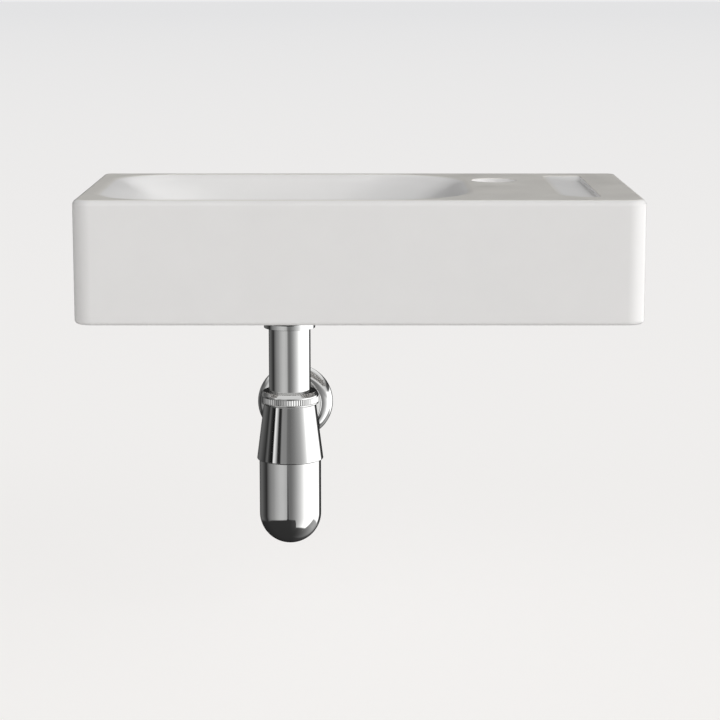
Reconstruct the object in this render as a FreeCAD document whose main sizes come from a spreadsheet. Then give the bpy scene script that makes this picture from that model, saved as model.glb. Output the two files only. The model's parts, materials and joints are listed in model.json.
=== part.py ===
# Wall hung basin with a soap recess, its waste and its chrome bottle trap, in millimetres.
# Frame: +X right, +Y into the wall, +Z up. The origin is on the wall plane, midway between
# the two wall fixings. Each piece is drawn from the rim plane or from its own axis.
import FreeCAD, Part
import Sketcher
import math
import os
import re

SIZES = {
    # basin, outside
    "basin_length": 420,
    "basin_depth": 220,
    "basin_height": 92,
    "front_corner_radius": 14,
    "back_corner_radius": 8,
    "top_edge_radius": 4.5,
    "bottom_edge_radius": 3,
    # basin, hollow underside
    "side_wall": 10,
    "back_wall": 12,
    "deck_thickness": 12,
    "void_corner_radius": 6,
    # bowl
    "bowl_left_rim": 13,
    "ledge_width": 125,
    "bowl_front_rim": 11,
    "bowl_back_rim": 14,
    "bowl_left_radius": 45,
    "bowl_right_radius": 62,
    "bowl_corner_swell": 20,
    "bowl_least_flat": 0.5,
    "bowl_depth": 62,
    "bowl_edge_radius": 5,
    "bowl_side_roll": 0.5,
    "bowl_roll_ease": 0.6,
    "bowl_side_ease": 1.5,
    "bowl_back_ease": 1.8,
    "bowl_front_ease": 2,
    "floor_half_size": 38,
    "floor_corner_radius": 35,
    "floor_thickness": 14,
    "bowl_outer_spread": 4,
    # drain position
    "drain_from_middle": 53.5,
    "drain_from_front": 73.5,
    # tap hole
    "tap_hole_radius": 17.5,
    "tap_from_bowl": 21.5,
    "tap_from_wall": 62,
    "small_edge_radius": 0.8,
    # soap recess
    "recess_from_right": 32,
    "recess_width": 30,
    "recess_from_wall": 24,
    "recess_from_front": 26,
    "recess_depth": 3.2,
    "recess_left_slope": 24,
    "recess_end_slope": 8,
    "recess_right_slope": 0.7,
    "recess_corner_radius": 3,
    "recess_back_radius": 9,
    "recess_front_radius": 24,
    "recess_bed_radius": 2,
    # wall fixings
    "rim_above_fixings": 70,
    "fixing_spacing": 280,
    "fixing_hole_radius": 7.5,
    "bolt_radius": 5,
    "bolt_thread_radius": 4.8,
    "bolt_in_wall": 60,
    "bolt_past_nut": 6,
    "bush_clearance": 0.2,
    "bush_sleeve_length": 10,
    "bush_flange_radius": 12,
    "bush_flange_thickness": 3,
    "washer_radius": 11,
    "washer_thickness": 2,
    "nut_across_flats": 17,
    "nut_height": 8,
    # waste
    "flange_radius": 31,
    "flange_thickness": 3,
    "waste_seal_thickness": 2,
    "seat_clearance": 1,
    "waste_hole_radius": 23,
    "tail_radius": 20.95,
    "tail_bore_radius": 17,
    "tail_length": 30,
    "throat_radius": 21,
    "throat_depth": 4,
    "hub_radius": 7,
    "hub_depth": 8,
    "hub_height": 6,
    "spoke_width": 3,
    "thread_clearance": 0.15,
    "under_washer_radius": 29,
    "under_washer_thickness": 3,
    "backnut_across_flats": 54,
    "backnut_height": 6.4,
    # waste cover
    "cover_radius": 28,
    "cover_rise": 3,
    "cover_thickness": 3,
    "cover_gap": 5,
    "cover_boss_radius": 6,
    "stem_radius": 3,
    "stem_length": 15,
    "stem_pin_radius": 2.5,
    "stem_pin_length": 9,
    "stem_clearance": 0.3,
    "rest_gap": 0.2,
    # inlet tube and its nut
    "tube_radius": 16,
    "tube_wall": 1.4,
    "dip_end": 250,
    "collar_thickness": 2,
    "inlet_collar_radius": 20.2,
    "inlet_seal_thickness": 2.4,
    "inlet_nut_radius": 25,
    "inlet_nut_height": 18.6,
    "inlet_lip_radius": 19.6,
    "inlet_lip_height": 4.2,
    "inlet_lip_thickness": 8.2,
    "slide_clearance": 0.4,
    # ring nut, slip ring and tube seal
    "ring_top": 153.6,
    "ring_top_radius": 20.6,
    "ring_cone_height": 3,
    "ring_radius": 22,
    "ring_height": 9.7,
    "ring_lip": 1.8,
    "ring_chamfer": 0.5,
    "knurl_margin": 1.3,
    "knurl_depth": 0.5,
    "knurl_width": 0.9,
    "knurl_count": 72,
    "slip_ring_thickness": 1,
    "seal_flange": 1.2,
    "seal_cone_height": 4.8,
    "seal_cone_top": 18.6,
    "seal_cone_bottom": 17,
    # trap body
    "neck_radius": 19.7,
    "cone_gap": 0.7,
    "cone_top_radius": 20.1,
    "cone_bottom_radius": 25.5,
    "cone_height": 42.3,
    "skirt_chamfer_height": 0.5,
    "skirt_edge_radius": 25.2,
    "body_guide_height": 2,
    "body_inner_top": 18,
    "body_inner_bottom": 21.4,
    "outlet_below_rim": 190.4,
    "spigot_radius": 18.6,
    "spigot_length": 38,
    "spigot_bore": 11.5,
    # cup
    "cup_radius": 23.75,
    "cup_neck_radius": 23.35,
    "cup_neck_height": 3.4,
    "cup_wall": 1.5,
    "cup_centre": 249.6,
    "cup_seal_thickness": 1,
    # outlet
    "outlet_seal_thickness": 2,
    "outlet_collar_radius": 18.2,
    "outlet_nut_radius": 22,
    "outlet_nut_length": 16,
    "outlet_lip_thickness": 3,
    "outlet_edge": 1,
    "tube_in_wall": 45,
    # wall rosette
    "rosette_radius": 31.2,
    "rosette_rim": 1.2,
    "rosette_dome_height": 8.5,
    "rosette_dome_bulge": 9,
    "rosette_collar_radius": 22,
    "rosette_collar_height": 12,
    "rosette_collar_edge": 1,
    "rosette_wall": 1.2,
    "grip_ring_radius": 18.2,
    "grip_ring_length": 4,
    "grip_fit": 0.05,
    # how far a cutting shape reaches past the face it cuts through
    "overshoot": 1,
}
# The bowl and the recess are lofted through this many steps from the rim plane to the floor.
BOWL_LEVELS = 5
RECESS_LEVELS = 3
# Two heights that differ by less than this are one level.
SAME_LEVEL = 0.001

doc = FreeCAD.newDocument("WallHungBasin")


def fill_sheet():
    sheet = doc.addObject("Spreadsheet::Sheet", "sizes")
    for row, (alias, value) in enumerate(SIZES.items(), start=1):
        sheet.set(f"A{row}", alias)
        sheet.set(f"B{row}", str(value))
        sheet.setAlias(f"B{row}", alias)
    doc.recompute()
    return sheet


sheet = fill_sheet()


# Heights and places that several pieces share, as sums of the driving sizes.
# Heights are measured up from the rim plane, so they are negative below it.
DERIVED = {
    "drain_from_wall": "basin_depth - drain_from_front",
    "bowl_left": "bowl_left_rim - basin_length / 2",
    "bowl_right": "basin_length / 2 - ledge_width",
    "bowl_front": "bowl_front_rim - basin_depth",
    "tap_from_middle": "bowl_right + tap_from_bowl",
    "recess_right": "basin_length / 2 - recess_from_right",
    "recess_left": "recess_right - recess_width",
    "recess_front": "recess_from_front - basin_depth",
    "waste_top": "-bowl_depth",
    "seal_top": "waste_top - flange_thickness",
    "seat_level": "seal_top - waste_seal_thickness",
    "hub_top": "waste_top - hub_depth",
    "floor_under": "-bowl_depth - floor_thickness",
    "washer_under": "floor_under - under_washer_thickness",
    "tail_end": "waste_top - tail_length",
    "thread_bore": "tail_radius + thread_clearance",
    "tube_bore": "tube_radius - tube_wall",
    "tube_guide": "tube_radius + slide_clearance",
    "inlet_collar_top": "tail_end - inlet_seal_thickness",
    "inlet_lip_top": "inlet_collar_top - collar_thickness",
    "inlet_nut_bottom": "inlet_lip_top - inlet_lip_thickness",
    "inlet_nut_top": "inlet_nut_bottom + inlet_nut_height",
    "ring_bottom": "-ring_top - ring_height",
    "slip_top": "-ring_top - ring_lip",
    "tube_seal_top": "slip_top - slip_ring_thickness",
    "neck_top": "tube_seal_top - seal_flange",
    "seal_tip": "neck_top - seal_cone_height",
    "ring_bore": "neck_radius + slide_clearance",
    "cone_top": "ring_bottom - cone_gap",
    "cone_bottom": "cone_top - cone_height",
    "skirt_bottom": "cone_bottom - skirt_chamfer_height",
    "cup_rim": "skirt_bottom + cup_neck_height",
    "shoulder": "cup_rim + cup_seal_thickness",
    "skirt_bore": "cup_neck_radius + slide_clearance",
    "spigot_low": "-outlet_below_rim - spigot_radius",
    "cup_clear": "cup_radius + slide_clearance",
    "cup_inner": "cup_radius - cup_wall",
    "cup_bottom": "-cup_centre - cup_radius",
    "outlet_collar_start": "spigot_length + outlet_seal_thickness",
    "outlet_lip_start": "outlet_collar_start + collar_thickness",
    "outlet_nut_end": "outlet_lip_start + outlet_lip_thickness",
    "outlet_nut_bore": "spigot_radius + slide_clearance",
    "washer_face": "back_wall + bush_flange_thickness",
    "nut_face": "washer_face + washer_thickness",
    "nut_end": "nut_face + nut_height",
    "cover_under": "waste_top + cover_gap",
    "boss_end": "hub_top + rest_gap",
}


# Writes a formula of plain names as one that the sheet's cells can answer.
def formula(text):
    def expand(match):
        name = match.group(0)
        if name in DERIVED:
            return "(" + formula(DERIVED[name]) + ")"
        return "sizes." + name if name in SIZES else name

    return re.sub(r"[a-z]\w*", expand, str(text))


def value(text):
    return float(sheet.evalExpression(formula(text)))


def bind(item, prop, text):
    item.setExpression(prop, formula(text))


def new_body(name):
    body = doc.addObject("PartDesign::Body", name)
    body.Label = name
    return body


def place(body, x, y, z, tilt=0):
    body.Placement = FreeCAD.Placement(FreeCAD.Vector(), FreeCAD.Rotation(FreeCAD.Vector(1, 0, 0), tilt))
    bind(body, "Placement.Base.x", x)
    bind(body, "Placement.Base.y", y)
    bind(body, "Placement.Base.z", z)


# Stands a piece on the drain's upright axis, drawn from the rim plane down.
def place_on_drain(body):
    place(body, "-drain_from_middle", "-drain_from_wall", "rim_above_fixings")


# Lays a piece on the outlet's level axis, drawn from the drain's axis towards the wall.
def place_on_outlet(body):
    place(body, "-drain_from_middle", "-drain_from_wall", "rim_above_fixings - outlet_below_rim", tilt=-90)


# Lays a sketch or a solid on one of the body's own planes, at a height above it.
def lay_on_plane(item, body, plane, offset):
    support = next(feature for feature in body.Origin.OriginFeatures if feature.Role == plane)
    item.AttachmentSupport = [(support, "")]
    item.MapMode = "FlatFace"
    bind(item, "AttachmentOffset.Base.z", offset)


def new_sketch(body, plane, offset="0"):
    sketch = body.newObject("Sketcher::SketchObject", body.Label + "_sketch")
    lay_on_plane(sketch, body, plane, offset)
    return sketch


# Ties one number of a sketch to a formula, through a named constraint.
def tie(sketch, constraint, name, text):
    index = sketch.addConstraint(constraint)
    sketch.renameConstraint(index, name)
    bind(sketch, "Constraints." + name, text)


def tie_point(sketch, geometry, end, name, x, y):
    tie(sketch, Sketcher.Constraint("DistanceX", -1, 1, geometry, end, value(x)), name + "_x", x)
    tie(sketch, Sketcher.Constraint("DistanceY", -1, 1, geometry, end, value(y)), name + "_y", y)


# The arc of a given radius between two points, turning left (+1) or right (-1) on its way.
def arc_between(start, end, radius, turn):
    chord = end.sub(start)
    middle = start.add(end).multiply(0.5)
    rise = math.sqrt(max(radius ** 2 - (chord.Length / 2) ** 2, 0))
    side = FreeCAD.Vector(-chord.y, chord.x, 0).normalize()
    centre = middle.add(side.multiply(rise * turn))
    first, last = (start, end) if turn > 0 else (end, start)
    angles = [math.atan2(point.y - centre.y, point.x - centre.x) for point in (first, last)]
    if angles[1] <= angles[0]:
        angles[1] += 2 * math.pi
    circle = Part.Circle(centre, FreeCAD.Vector(0, 0, 1), radius)
    return Part.ArcOfCircle(circle, *angles)


# Draws a closed outline. Each corner is (x, y), or (x, y, radius, turn) if an arc leads to it.
def draw_outline(sketch, corners):
    points = [FreeCAD.Vector(value(corner[0]), value(corner[1]), 0) for corner in corners]
    count = len(corners)
    ends = []
    for i in range(count):
        start, end, corner = points[i - 1], points[i], corners[i]
        if len(corner) == 2:
            sketch.addGeometry(Part.LineSegment(start, end))
            ends.append((1, 2))
        else:
            sketch.addGeometry(arc_between(start, end, value(corner[2]), corner[3]))
            ends.append((1, 2) if corner[3] > 0 else (2, 1))
    for i in range(count):
        following = (i + 1) % count
        sketch.addConstraint(Sketcher.Constraint("Coincident", i, ends[i][1], following, ends[following][0]))
    for i, corner in enumerate(corners):
        tie_point(sketch, i, ends[i][1], f"corner{i}", corner[0], corner[1])
        if len(corner) == 4:
            tie(sketch, Sketcher.Constraint("Radius", i, value(corner[2])), f"arc{i}", corner[2])


def draw_circle(sketch, x, y, radius):
    centre = FreeCAD.Vector(value(x), value(y), 0)
    index = sketch.addGeometry(Part.Circle(centre, FreeCAD.Vector(0, 0, 1), value(radius)))
    tie_point(sketch, index, 3, f"centre{index}", x, y)
    tie(sketch, Sketcher.Constraint("Radius", index, value(radius)), f"radius{index}", radius)


# A rectangle with rounded corners. The radii go round from (left, front), anticlockwise.
def draw_rounded(sketch, left, right, front, back, radii):
    first, second, third, fourth = radii
    draw_outline(sketch, [
        (f"{right} - {second}", front),
        (right, f"{front} + {second}", second, 1),
        (right, f"{back} - {third}"),
        (f"{right} - {third}", back, third, 1),
        (f"{left} + {fourth}", back),
        (left, f"{back} - {fourth}", fourth, 1),
        (left, f"{front} + {first}"),
        (f"{left} + {first}", front, first, 1),
    ])


# Turns an outline of (radius, height) corners about the piece's own upright axis.
def revolve(body, corners, kind="Revolution"):
    sketch = new_sketch(body, "XZ_Plane")
    draw_outline(sketch, corners)
    feature = body.newObject("PartDesign::" + kind, body.Label + "_" + kind.lower())
    feature.Profile = sketch
    feature.ReferenceAxis = (sketch, ["V_Axis"])
    feature.Angle = 360
    return feature


def ring(body, inner, outer, low, high, kind="Revolution"):
    return revolve(body, [(inner, low), (outer, low), (outer, high), (inner, high)], kind)


def extrude(body, sketch, length, kind, reverse=False):
    feature = body.newObject("PartDesign::" + kind, body.Label + "_" + kind.lower())
    feature.Profile = sketch
    feature.Reversed = reverse
    bind(feature, "Length", length)
    return feature


def loft(body, sketches, kind, ruled=False):
    feature = body.newObject("PartDesign::" + kind, body.Label + "_loft")
    feature.Profile = sketches[0]
    feature.Sections = sketches[1:]
    feature.Ruled = ruled
    return feature


def dress(body, kind, edges, prop, size):
    base = body.Tip
    feature = body.newObject("PartDesign::" + kind, body.Label + "_" + kind.lower())
    feature.Base = (base, edges)
    bind(feature, prop, size)
    return feature


# The names of the edges round one flat face: its outer loop, or the inner loop at a point.
def loop_names(shape, height, inside=None):
    flats = [face for face in shape.Faces
             if abs(face.BoundBox.ZMax - height) < SAME_LEVEL and face.BoundBox.ZLength < SAME_LEVEL]
    face = max(flats, key=lambda item: item.Area)
    if inside is None:
        wire = face.OuterWire
    else:
        inner = [item for item in face.Wires if not item.isSame(face.OuterWire)]
        wire = min(inner, key=lambda item: item.BoundBox.Center.distanceToPoint(inside))
    return [f"Edge{index}" for index, edge in enumerate(shape.Edges, start=1)
            if any(edge.isSame(other) for other in wire.Edges)]


def bowl_section(body, step, depth_text, spread):
    t = f"{(step / BOWL_LEVELS) ** 2}"
    drain_x, drain_y = "-drain_from_middle", "-drain_from_wall"

    def eased(start, end, share):
        return f"({start} + ({end} - {start}) * ({share}))"

    # The bowl's two ends roll in softly: they start level, and steepen further down.
    roll = f"bowl_side_roll * {t} ^ bowl_roll_ease + (1 - bowl_side_roll) * {t} ^ bowl_side_ease"
    left = eased("bowl_left", f"({drain_x} - floor_half_size)", roll)
    right = eased("bowl_right", f"({drain_x} + floor_half_size)", roll)
    front = eased("bowl_front", f"({drain_y} - floor_half_size)", f"{t} ^ bowl_front_ease")
    back = eased("(-bowl_back_rim)", f"({drain_y} + floor_half_size)", f"{t} ^ bowl_back_ease")

    # A corner is swollen halfway down, and never takes up more than half of a side.
    def corner(rim_radius):
        swell = f"bowl_corner_swell * 4 * {t} * (1 - {t})"
        swollen = f"{rim_radius} + (floor_corner_radius - {rim_radius}) * {t} + {swell}"
        half_sides = f"({right} - {left}) / 2 - bowl_least_flat; ({back} - {front}) / 2 - bowl_least_flat"
        return f"(min({swollen}; {half_sides}) + {spread})"

    left_radius, right_radius = corner("bowl_left_radius"), corner("bowl_right_radius")
    sketch = new_sketch(body, "XY_Plane", depth_text)
    draw_rounded(sketch, f"({left} - {spread})", f"({right} + {spread})",
                 f"({front} - {spread})", f"({back} + {spread})",
                 [left_radius, right_radius, right_radius, left_radius])
    return sketch


# The levels lie closer together near the rim, where the ends are nearly level.
def bowl_loft(body, kind, top, bottom, spread):
    sections = []
    for step in range(BOWL_LEVELS + 1):
        depth = f"{top} + ({bottom} - ({top})) * {(step / BOWL_LEVELS) ** 2}"
        sections.append(bowl_section(body, step, depth, spread))
    return loft(body, sections, kind)


# The recess is a scoop: it slopes gently from its left rim and drops steeply at its right one.
def soap_recess(body):
    sections = []
    for step in range(RECESS_LEVELS + 1):
        share, rest = f"{step / RECESS_LEVELS}", f"{1 - step / RECESS_LEVELS}"
        section = new_sketch(body, "XY_Plane", f"-recess_depth * (1 - {rest} ^ 3)")
        radii = [f"({radius} * {rest} + recess_bed_radius * {share})" for radius in (
            "recess_front_radius", "recess_corner_radius", "recess_corner_radius", "recess_back_radius")]
        draw_rounded(section, f"(recess_left + recess_left_slope * {share})",
                     f"(recess_right - recess_right_slope * {share})",
                     f"(recess_front + recess_end_slope * {share})",
                     f"(-recess_from_wall - recess_end_slope * {share})", radii)
        sections.append(section)
    loft(body, sections, "SubtractiveLoft")


# A round hole from the rim plane's side, or from another level, straight down.
def drill_down(body, centre, radius, level, depth):
    sketch = new_sketch(body, "XY_Plane", level)
    draw_circle(sketch, *centre, radius)
    return extrude(body, sketch, depth, "Pocket")


def fixing_holes(body):
    sketch = new_sketch(body, "XZ_Plane")
    for side in ("-", ""):
        draw_circle(sketch, f"{side}fixing_spacing / 2", "-rim_above_fixings", "fixing_hole_radius")
    extrude(body, sketch, "back_wall + overshoot", "Pocket", reverse=True)


def round_basin_edges(body):
    bowl_x, bowl_y = value("(bowl_left + bowl_right) / 2"), value("(bowl_front - bowl_back_rim) / 2")
    for loop_at, size in (((bowl_x, bowl_y), "bowl_edge_radius"), (None, "top_edge_radius")):
        doc.recompute()
        inside = loop_at and FreeCAD.Vector(*loop_at, 0)
        dress(body, "Fillet", loop_names(body.Tip.Shape, 0, inside), "Radius", size)
    doc.recompute()
    underside = loop_names(body.Tip.Shape, -value("basin_height"))
    dress(body, "Fillet", underside, "Radius", "bottom_edge_radius")
    for x, y in ((value("tap_from_middle"), -value("tap_from_wall")),
                 (value("(recess_left + recess_right) / 2"), value("(recess_front - recess_from_wall) / 2"))):
        doc.recompute()
        edges = loop_names(body.Tip.Shape, 0, FreeCAD.Vector(x, y, 0))
        dress(body, "Fillet", edges, "Radius", "small_edge_radius")


def basin_shell():
    body = new_body("basin_shell")
    place(body, "0", "0", "rim_above_fixings")
    outside = new_sketch(body, "XY_Plane")
    draw_rounded(outside, "(-basin_length / 2)", "(basin_length / 2)", "(-basin_depth)", "0",
                 ["front_corner_radius", "front_corner_radius", "back_corner_radius", "back_corner_radius"])
    extrude(body, outside, "basin_height", "Pad", reverse=True)
    hollow = new_sketch(body, "XY_Plane", "-deck_thickness")
    draw_rounded(hollow, "(side_wall - basin_length / 2)", "(basin_length / 2 - side_wall)",
                 "(side_wall - basin_depth)", "(-back_wall)", ["void_corner_radius"] * 4)
    extrude(body, hollow, "basin_height", "Pocket")
    bowl_loft(body, "AdditiveLoft", "-deck_thickness", "floor_under", "bowl_outer_spread")
    bowl_loft(body, "SubtractiveLoft", "0", "-bowl_depth", "0")
    drain = ("-drain_from_middle", "-drain_from_wall")
    drill_down(body, drain, "flange_radius + seat_clearance", "waste_top", "waste_top - seat_level")
    drill_down(body, drain, "waste_hole_radius", "waste_top", "basin_height")
    drill_down(body, ("tap_from_middle", "-tap_from_wall"), "tap_hole_radius", "0", "basin_height")
    fixing_holes(body)
    soap_recess(body)
    round_basin_edges(body)
    return body


# A wall fixing is drawn on its own level axis and mirrored to the other side.
def pair(name, single):
    doc.recompute()
    mirror = doc.addObject("Part::Mirroring", name + "_other")
    mirror.Source = single
    mirror.Normal = FreeCAD.Vector(1, 0, 0)
    both = doc.addObject("Part::Compound", name)
    both.Links = [single, mirror]
    both.Label = name
    return both


def new_fixing(name):
    body = new_body(name + "_one")
    place(body, "fixing_spacing / 2", "0", "0", tilt=90)
    return body


def hanger_bolts():
    body = new_fixing("hanger_bolts")
    revolve(body, [
        ("0", "-bolt_in_wall"),
        ("bolt_radius", "-bolt_in_wall"),
        ("bolt_radius", "0"),
        ("bolt_thread_radius", "0"),
        ("bolt_thread_radius", "nut_end + bolt_past_nut"),
        ("0", "nut_end + bolt_past_nut"),
    ])
    return pair("hanger_bolts", body)


def fixing_bushes():
    body = new_fixing("fixing_bushes")
    sleeve = "fixing_hole_radius - bush_clearance"
    revolve(body, [
        ("bolt_thread_radius", "back_wall - bush_sleeve_length"),
        (sleeve, "back_wall - bush_sleeve_length"),
        (sleeve, "back_wall"),
        ("bush_flange_radius", "back_wall"),
        ("bush_flange_radius", "washer_face"),
        ("bolt_thread_radius", "washer_face"),
    ])
    return pair("fixing_bushes", body)


def fixing_washers():
    body = new_fixing("fixing_washers")
    ring(body, "bolt_thread_radius", "washer_radius", "washer_face", "nut_face")
    return pair("fixing_washers", body)


def hex_nut(body, across_flats, bore, low, height):
    prism = body.newObject("PartDesign::AdditivePrism", body.Label + "_hexagon")
    prism.Polygon = 6
    lay_on_plane(prism, body, "XY_Plane", low)
    bind(prism, "Circumradius", f"({across_flats}) / 2 / cos(30)")
    bind(prism, "Height", height)
    ring(body, "0", bore, f"({low}) - overshoot", f"({low}) + ({height}) + overshoot", "Groove")


def fixing_nuts():
    body = new_fixing("fixing_nuts")
    hex_nut(body, "nut_across_flats", "bolt_thread_radius", "nut_face", "nut_height")
    return pair("fixing_nuts", body)


def waste_body():
    body = new_body("waste_body")
    place_on_drain(body)
    revolve(body, [
        ("throat_radius", "waste_top"),
        ("tail_bore_radius", "waste_top - throat_depth"),
        ("tail_bore_radius", "tail_end"),
        ("tail_radius", "tail_end"),
        ("tail_radius", "seal_top"),
        ("flange_radius", "seal_top"),
        ("flange_radius", "waste_top"),
    ])
    hub = new_sketch(body, "XY_Plane", "hub_top")
    draw_circle(hub, "0", "0", "hub_radius")
    extrude(body, hub, "hub_height", "Pad", reverse=True)
    reach, half = "((tail_radius + tail_bore_radius) / 2)", "(spoke_width / 2)"
    for long_x, long_y in ((reach, half), (half, reach)):
        spoke = new_sketch(body, "XY_Plane", "hub_top")
        draw_outline(spoke, [(long_x, f"-{long_y}"), (long_x, long_y), (f"-{long_x}", long_y),
                             (f"-{long_x}", f"-{long_y}")])
        extrude(body, spoke, "hub_height", "Pad", reverse=True)
    drill_down(body, ("0", "0"), "stem_radius + stem_clearance", "hub_top", "hub_height + overshoot")
    return body


def waste_seal():
    body = new_body("waste_seal")
    place_on_drain(body)
    ring(body, "tail_radius", "flange_radius", "seat_level", "seal_top")
    return body


def under_washer():
    body = new_body("under_washer")
    place_on_drain(body)
    ring(body, "tail_radius", "under_washer_radius", "washer_under", "floor_under")
    return body


def waste_backnut():
    body = new_body("waste_backnut")
    place_on_drain(body)
    hex_nut(body, "backnut_across_flats", "thread_bore", "washer_under - backnut_height", "backnut_height")
    return body


# The cover lifts off: a low dome on a boss that stands on the strainer's hub.
def waste_cover():
    body = new_body("waste_cover")
    place_on_drain(body)
    chord, rise = "cover_radius", "cover_rise"
    crown_radius = f"(({chord}) ^ 2 + ({rise}) ^ 2) / (2 * {rise})"
    revolve(body, [
        ("0", "boss_end"),
        ("cover_boss_radius", "boss_end"),
        ("cover_boss_radius", "cover_under"),
        ("cover_radius", "cover_under"),
        ("cover_radius", "cover_under + cover_thickness"),
        ("0", "cover_under + cover_thickness + cover_rise", crown_radius, 1),
    ])
    ring(body, "0", "stem_pin_radius", "boss_end", "boss_end + stem_pin_length", "Groove")
    return body


def cover_stem():
    body = new_body("cover_stem")
    place_on_drain(body)
    revolve(body, [
        ("0", "boss_end - stem_length"),
        ("stem_radius", "boss_end - stem_length"),
        ("stem_radius", "boss_end"),
        ("stem_pin_radius", "boss_end"),
        ("stem_pin_radius", "boss_end + stem_pin_length"),
        ("0", "boss_end + stem_pin_length"),
    ])
    return body


def inlet_nut():
    body = new_body("inlet_nut")
    place_on_drain(body)
    bore = "(inlet_collar_radius + slide_clearance * 2)"
    thread = f"max(thread_bore + slide_clearance; {bore})"
    lip_top = "inlet_nut_bottom + inlet_lip_height"
    revolve(body, [
        ("tube_guide", "inlet_nut_bottom"),
        ("inlet_lip_radius", "inlet_nut_bottom"),
        ("inlet_lip_radius", lip_top),
        ("inlet_nut_radius", f"{lip_top} + (inlet_nut_radius - inlet_lip_radius)"),
        ("inlet_nut_radius", "inlet_nut_top"),
        (thread, "inlet_nut_top"),
        (thread, "inlet_lip_top"),
        ("tube_guide", "inlet_lip_top"),
    ])
    return body


def inlet_seal():
    body = new_body("inlet_seal")
    place_on_drain(body)
    ring(body, "tube_bore", "inlet_collar_radius", "inlet_collar_top", "tail_end")
    return body


def inlet_tube():
    body = new_body("inlet_tube")
    place_on_drain(body)
    revolve(body, [
        ("tube_bore", "-dip_end"),
        ("tube_radius", "-dip_end"),
        ("tube_radius", "inlet_lip_top"),
        ("inlet_collar_radius", "inlet_lip_top"),
        ("inlet_collar_radius", "inlet_collar_top"),
        ("tube_bore", "inlet_collar_top"),
    ])
    return body


def ring_nut():
    body = new_body("ring_nut")
    place_on_drain(body)
    revolve(body, [
        ("tube_guide", "-ring_top"),
        ("ring_top_radius", "-ring_top"),
        ("ring_radius", "-ring_top - ring_cone_height"),
        ("ring_radius", "ring_bottom + ring_chamfer"),
        ("ring_radius - ring_chamfer", "ring_bottom"),
        ("ring_bore", "ring_bottom"),
        ("ring_bore", "slip_top"),
        ("tube_guide", "slip_top"),
    ])
    doc.recompute()
    knurl_top = "-ring_top - ring_cone_height - knurl_margin"
    notch = new_sketch(body, "XY_Plane", knurl_top)
    inner, outer, half = "(ring_radius - knurl_depth)", "(ring_radius + knurl_depth)", "(knurl_width / 2)"
    draw_outline(notch, [(inner, "0"), (outer, f"-{half}"), (outer, half)])
    cut = extrude(body, notch, f"({knurl_top}) - (ring_bottom + knurl_margin)", "Pocket")
    pattern = body.newObject("PartDesign::PolarPattern", "knurl")
    pattern.Originals = [cut]
    pattern.Axis = (notch, ["N_Axis"])
    pattern.Angle = 360
    bind(pattern, "Occurrences", "knurl_count")
    body.Tip = pattern
    return body


def slip_ring():
    body = new_body("slip_ring")
    place_on_drain(body)
    ring(body, "tube_guide", "neck_radius", "tube_seal_top", "slip_top")
    return body


def tube_seal():
    body = new_body("tube_seal")
    place_on_drain(body)
    revolve(body, [
        ("tube_radius", "seal_tip"),
        ("seal_cone_bottom", "seal_tip"),
        ("seal_cone_top", "neck_top"),
        ("neck_radius", "neck_top"),
        ("neck_radius", "tube_seal_top"),
        ("tube_radius", "tube_seal_top"),
    ])
    return body


def trap_body():
    body = new_body("trap_body")
    place_on_drain(body)
    revolve(body, [
        ("0", "skirt_bottom"),
        ("skirt_edge_radius", "skirt_bottom"),
        ("cone_bottom_radius", "cone_bottom"),
        ("cone_top_radius", "cone_top"),
        ("neck_radius", "cone_top"),
        ("neck_radius", "neck_top"),
        ("0", "neck_top"),
    ])
    spigot = new_sketch(body, "XZ_Plane")
    draw_circle(spigot, "0", "-outlet_below_rim", "spigot_radius")
    extrude(body, spigot, "spigot_length", "Pad", reverse=True)
    guide_end = "(seal_tip - body_guide_height)"
    revolve(body, [
        ("0", "spigot_low - overshoot"),
        ("cup_clear", "spigot_low - overshoot"),
        ("cup_clear", "skirt_bottom"),
        ("skirt_bore", "skirt_bottom"),
        ("skirt_bore", "shoulder"),
        ("body_inner_bottom", "shoulder"),
        ("body_inner_top", guide_end),
        ("tube_guide", guide_end),
        ("tube_guide", "seal_tip"),
        ("seal_cone_bottom", "seal_tip"),
        ("seal_cone_top", "neck_top"),
        ("seal_cone_top", "neck_top + overshoot"),
        ("0", "neck_top + overshoot"),
    ], "Groove")
    bore = new_sketch(body, "XZ_Plane")
    draw_circle(bore, "0", "-outlet_below_rim", "spigot_bore")
    extrude(body, bore, "spigot_length + overshoot", "Pocket")
    return body


def cup_seal():
    body = new_body("cup_seal")
    place_on_drain(body)
    ring(body, "body_inner_bottom", "cup_neck_radius", "cup_rim", "shoulder")
    return body


def trap_cup():
    body = new_body("trap_cup")
    place_on_drain(body)
    neck_end = "skirt_bottom - slide_clearance"
    neck_inner = "cup_neck_radius - cup_wall"
    revolve(body, [
        ("0", "cup_bottom"),
        ("cup_radius", "-cup_centre", "cup_radius", 1),
        ("cup_radius", neck_end),
        ("cup_neck_radius", neck_end),
        ("cup_neck_radius", "cup_rim"),
        (neck_inner, "cup_rim"),
        (neck_inner, neck_end),
        ("cup_inner", f"{neck_end} - cup_wall"),
        ("cup_inner", "-cup_centre"),
        ("0", "-cup_centre - cup_inner", "cup_inner", -1),
    ])
    return body


def outlet_seal():
    body = new_body("outlet_seal")
    place_on_outlet(body)
    ring(body, "spigot_bore", "outlet_collar_radius", "spigot_length", "outlet_collar_start")
    return body


def outlet_tube():
    body = new_body("outlet_tube")
    place_on_outlet(body)
    end = "drain_from_wall + tube_in_wall"
    revolve(body, [
        ("tube_bore", "outlet_collar_start"),
        ("outlet_collar_radius", "outlet_collar_start"),
        ("outlet_collar_radius", "outlet_lip_start"),
        ("tube_radius", "outlet_lip_start"),
        ("tube_radius", end),
        ("tube_bore", end),
    ])
    return body


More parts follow.
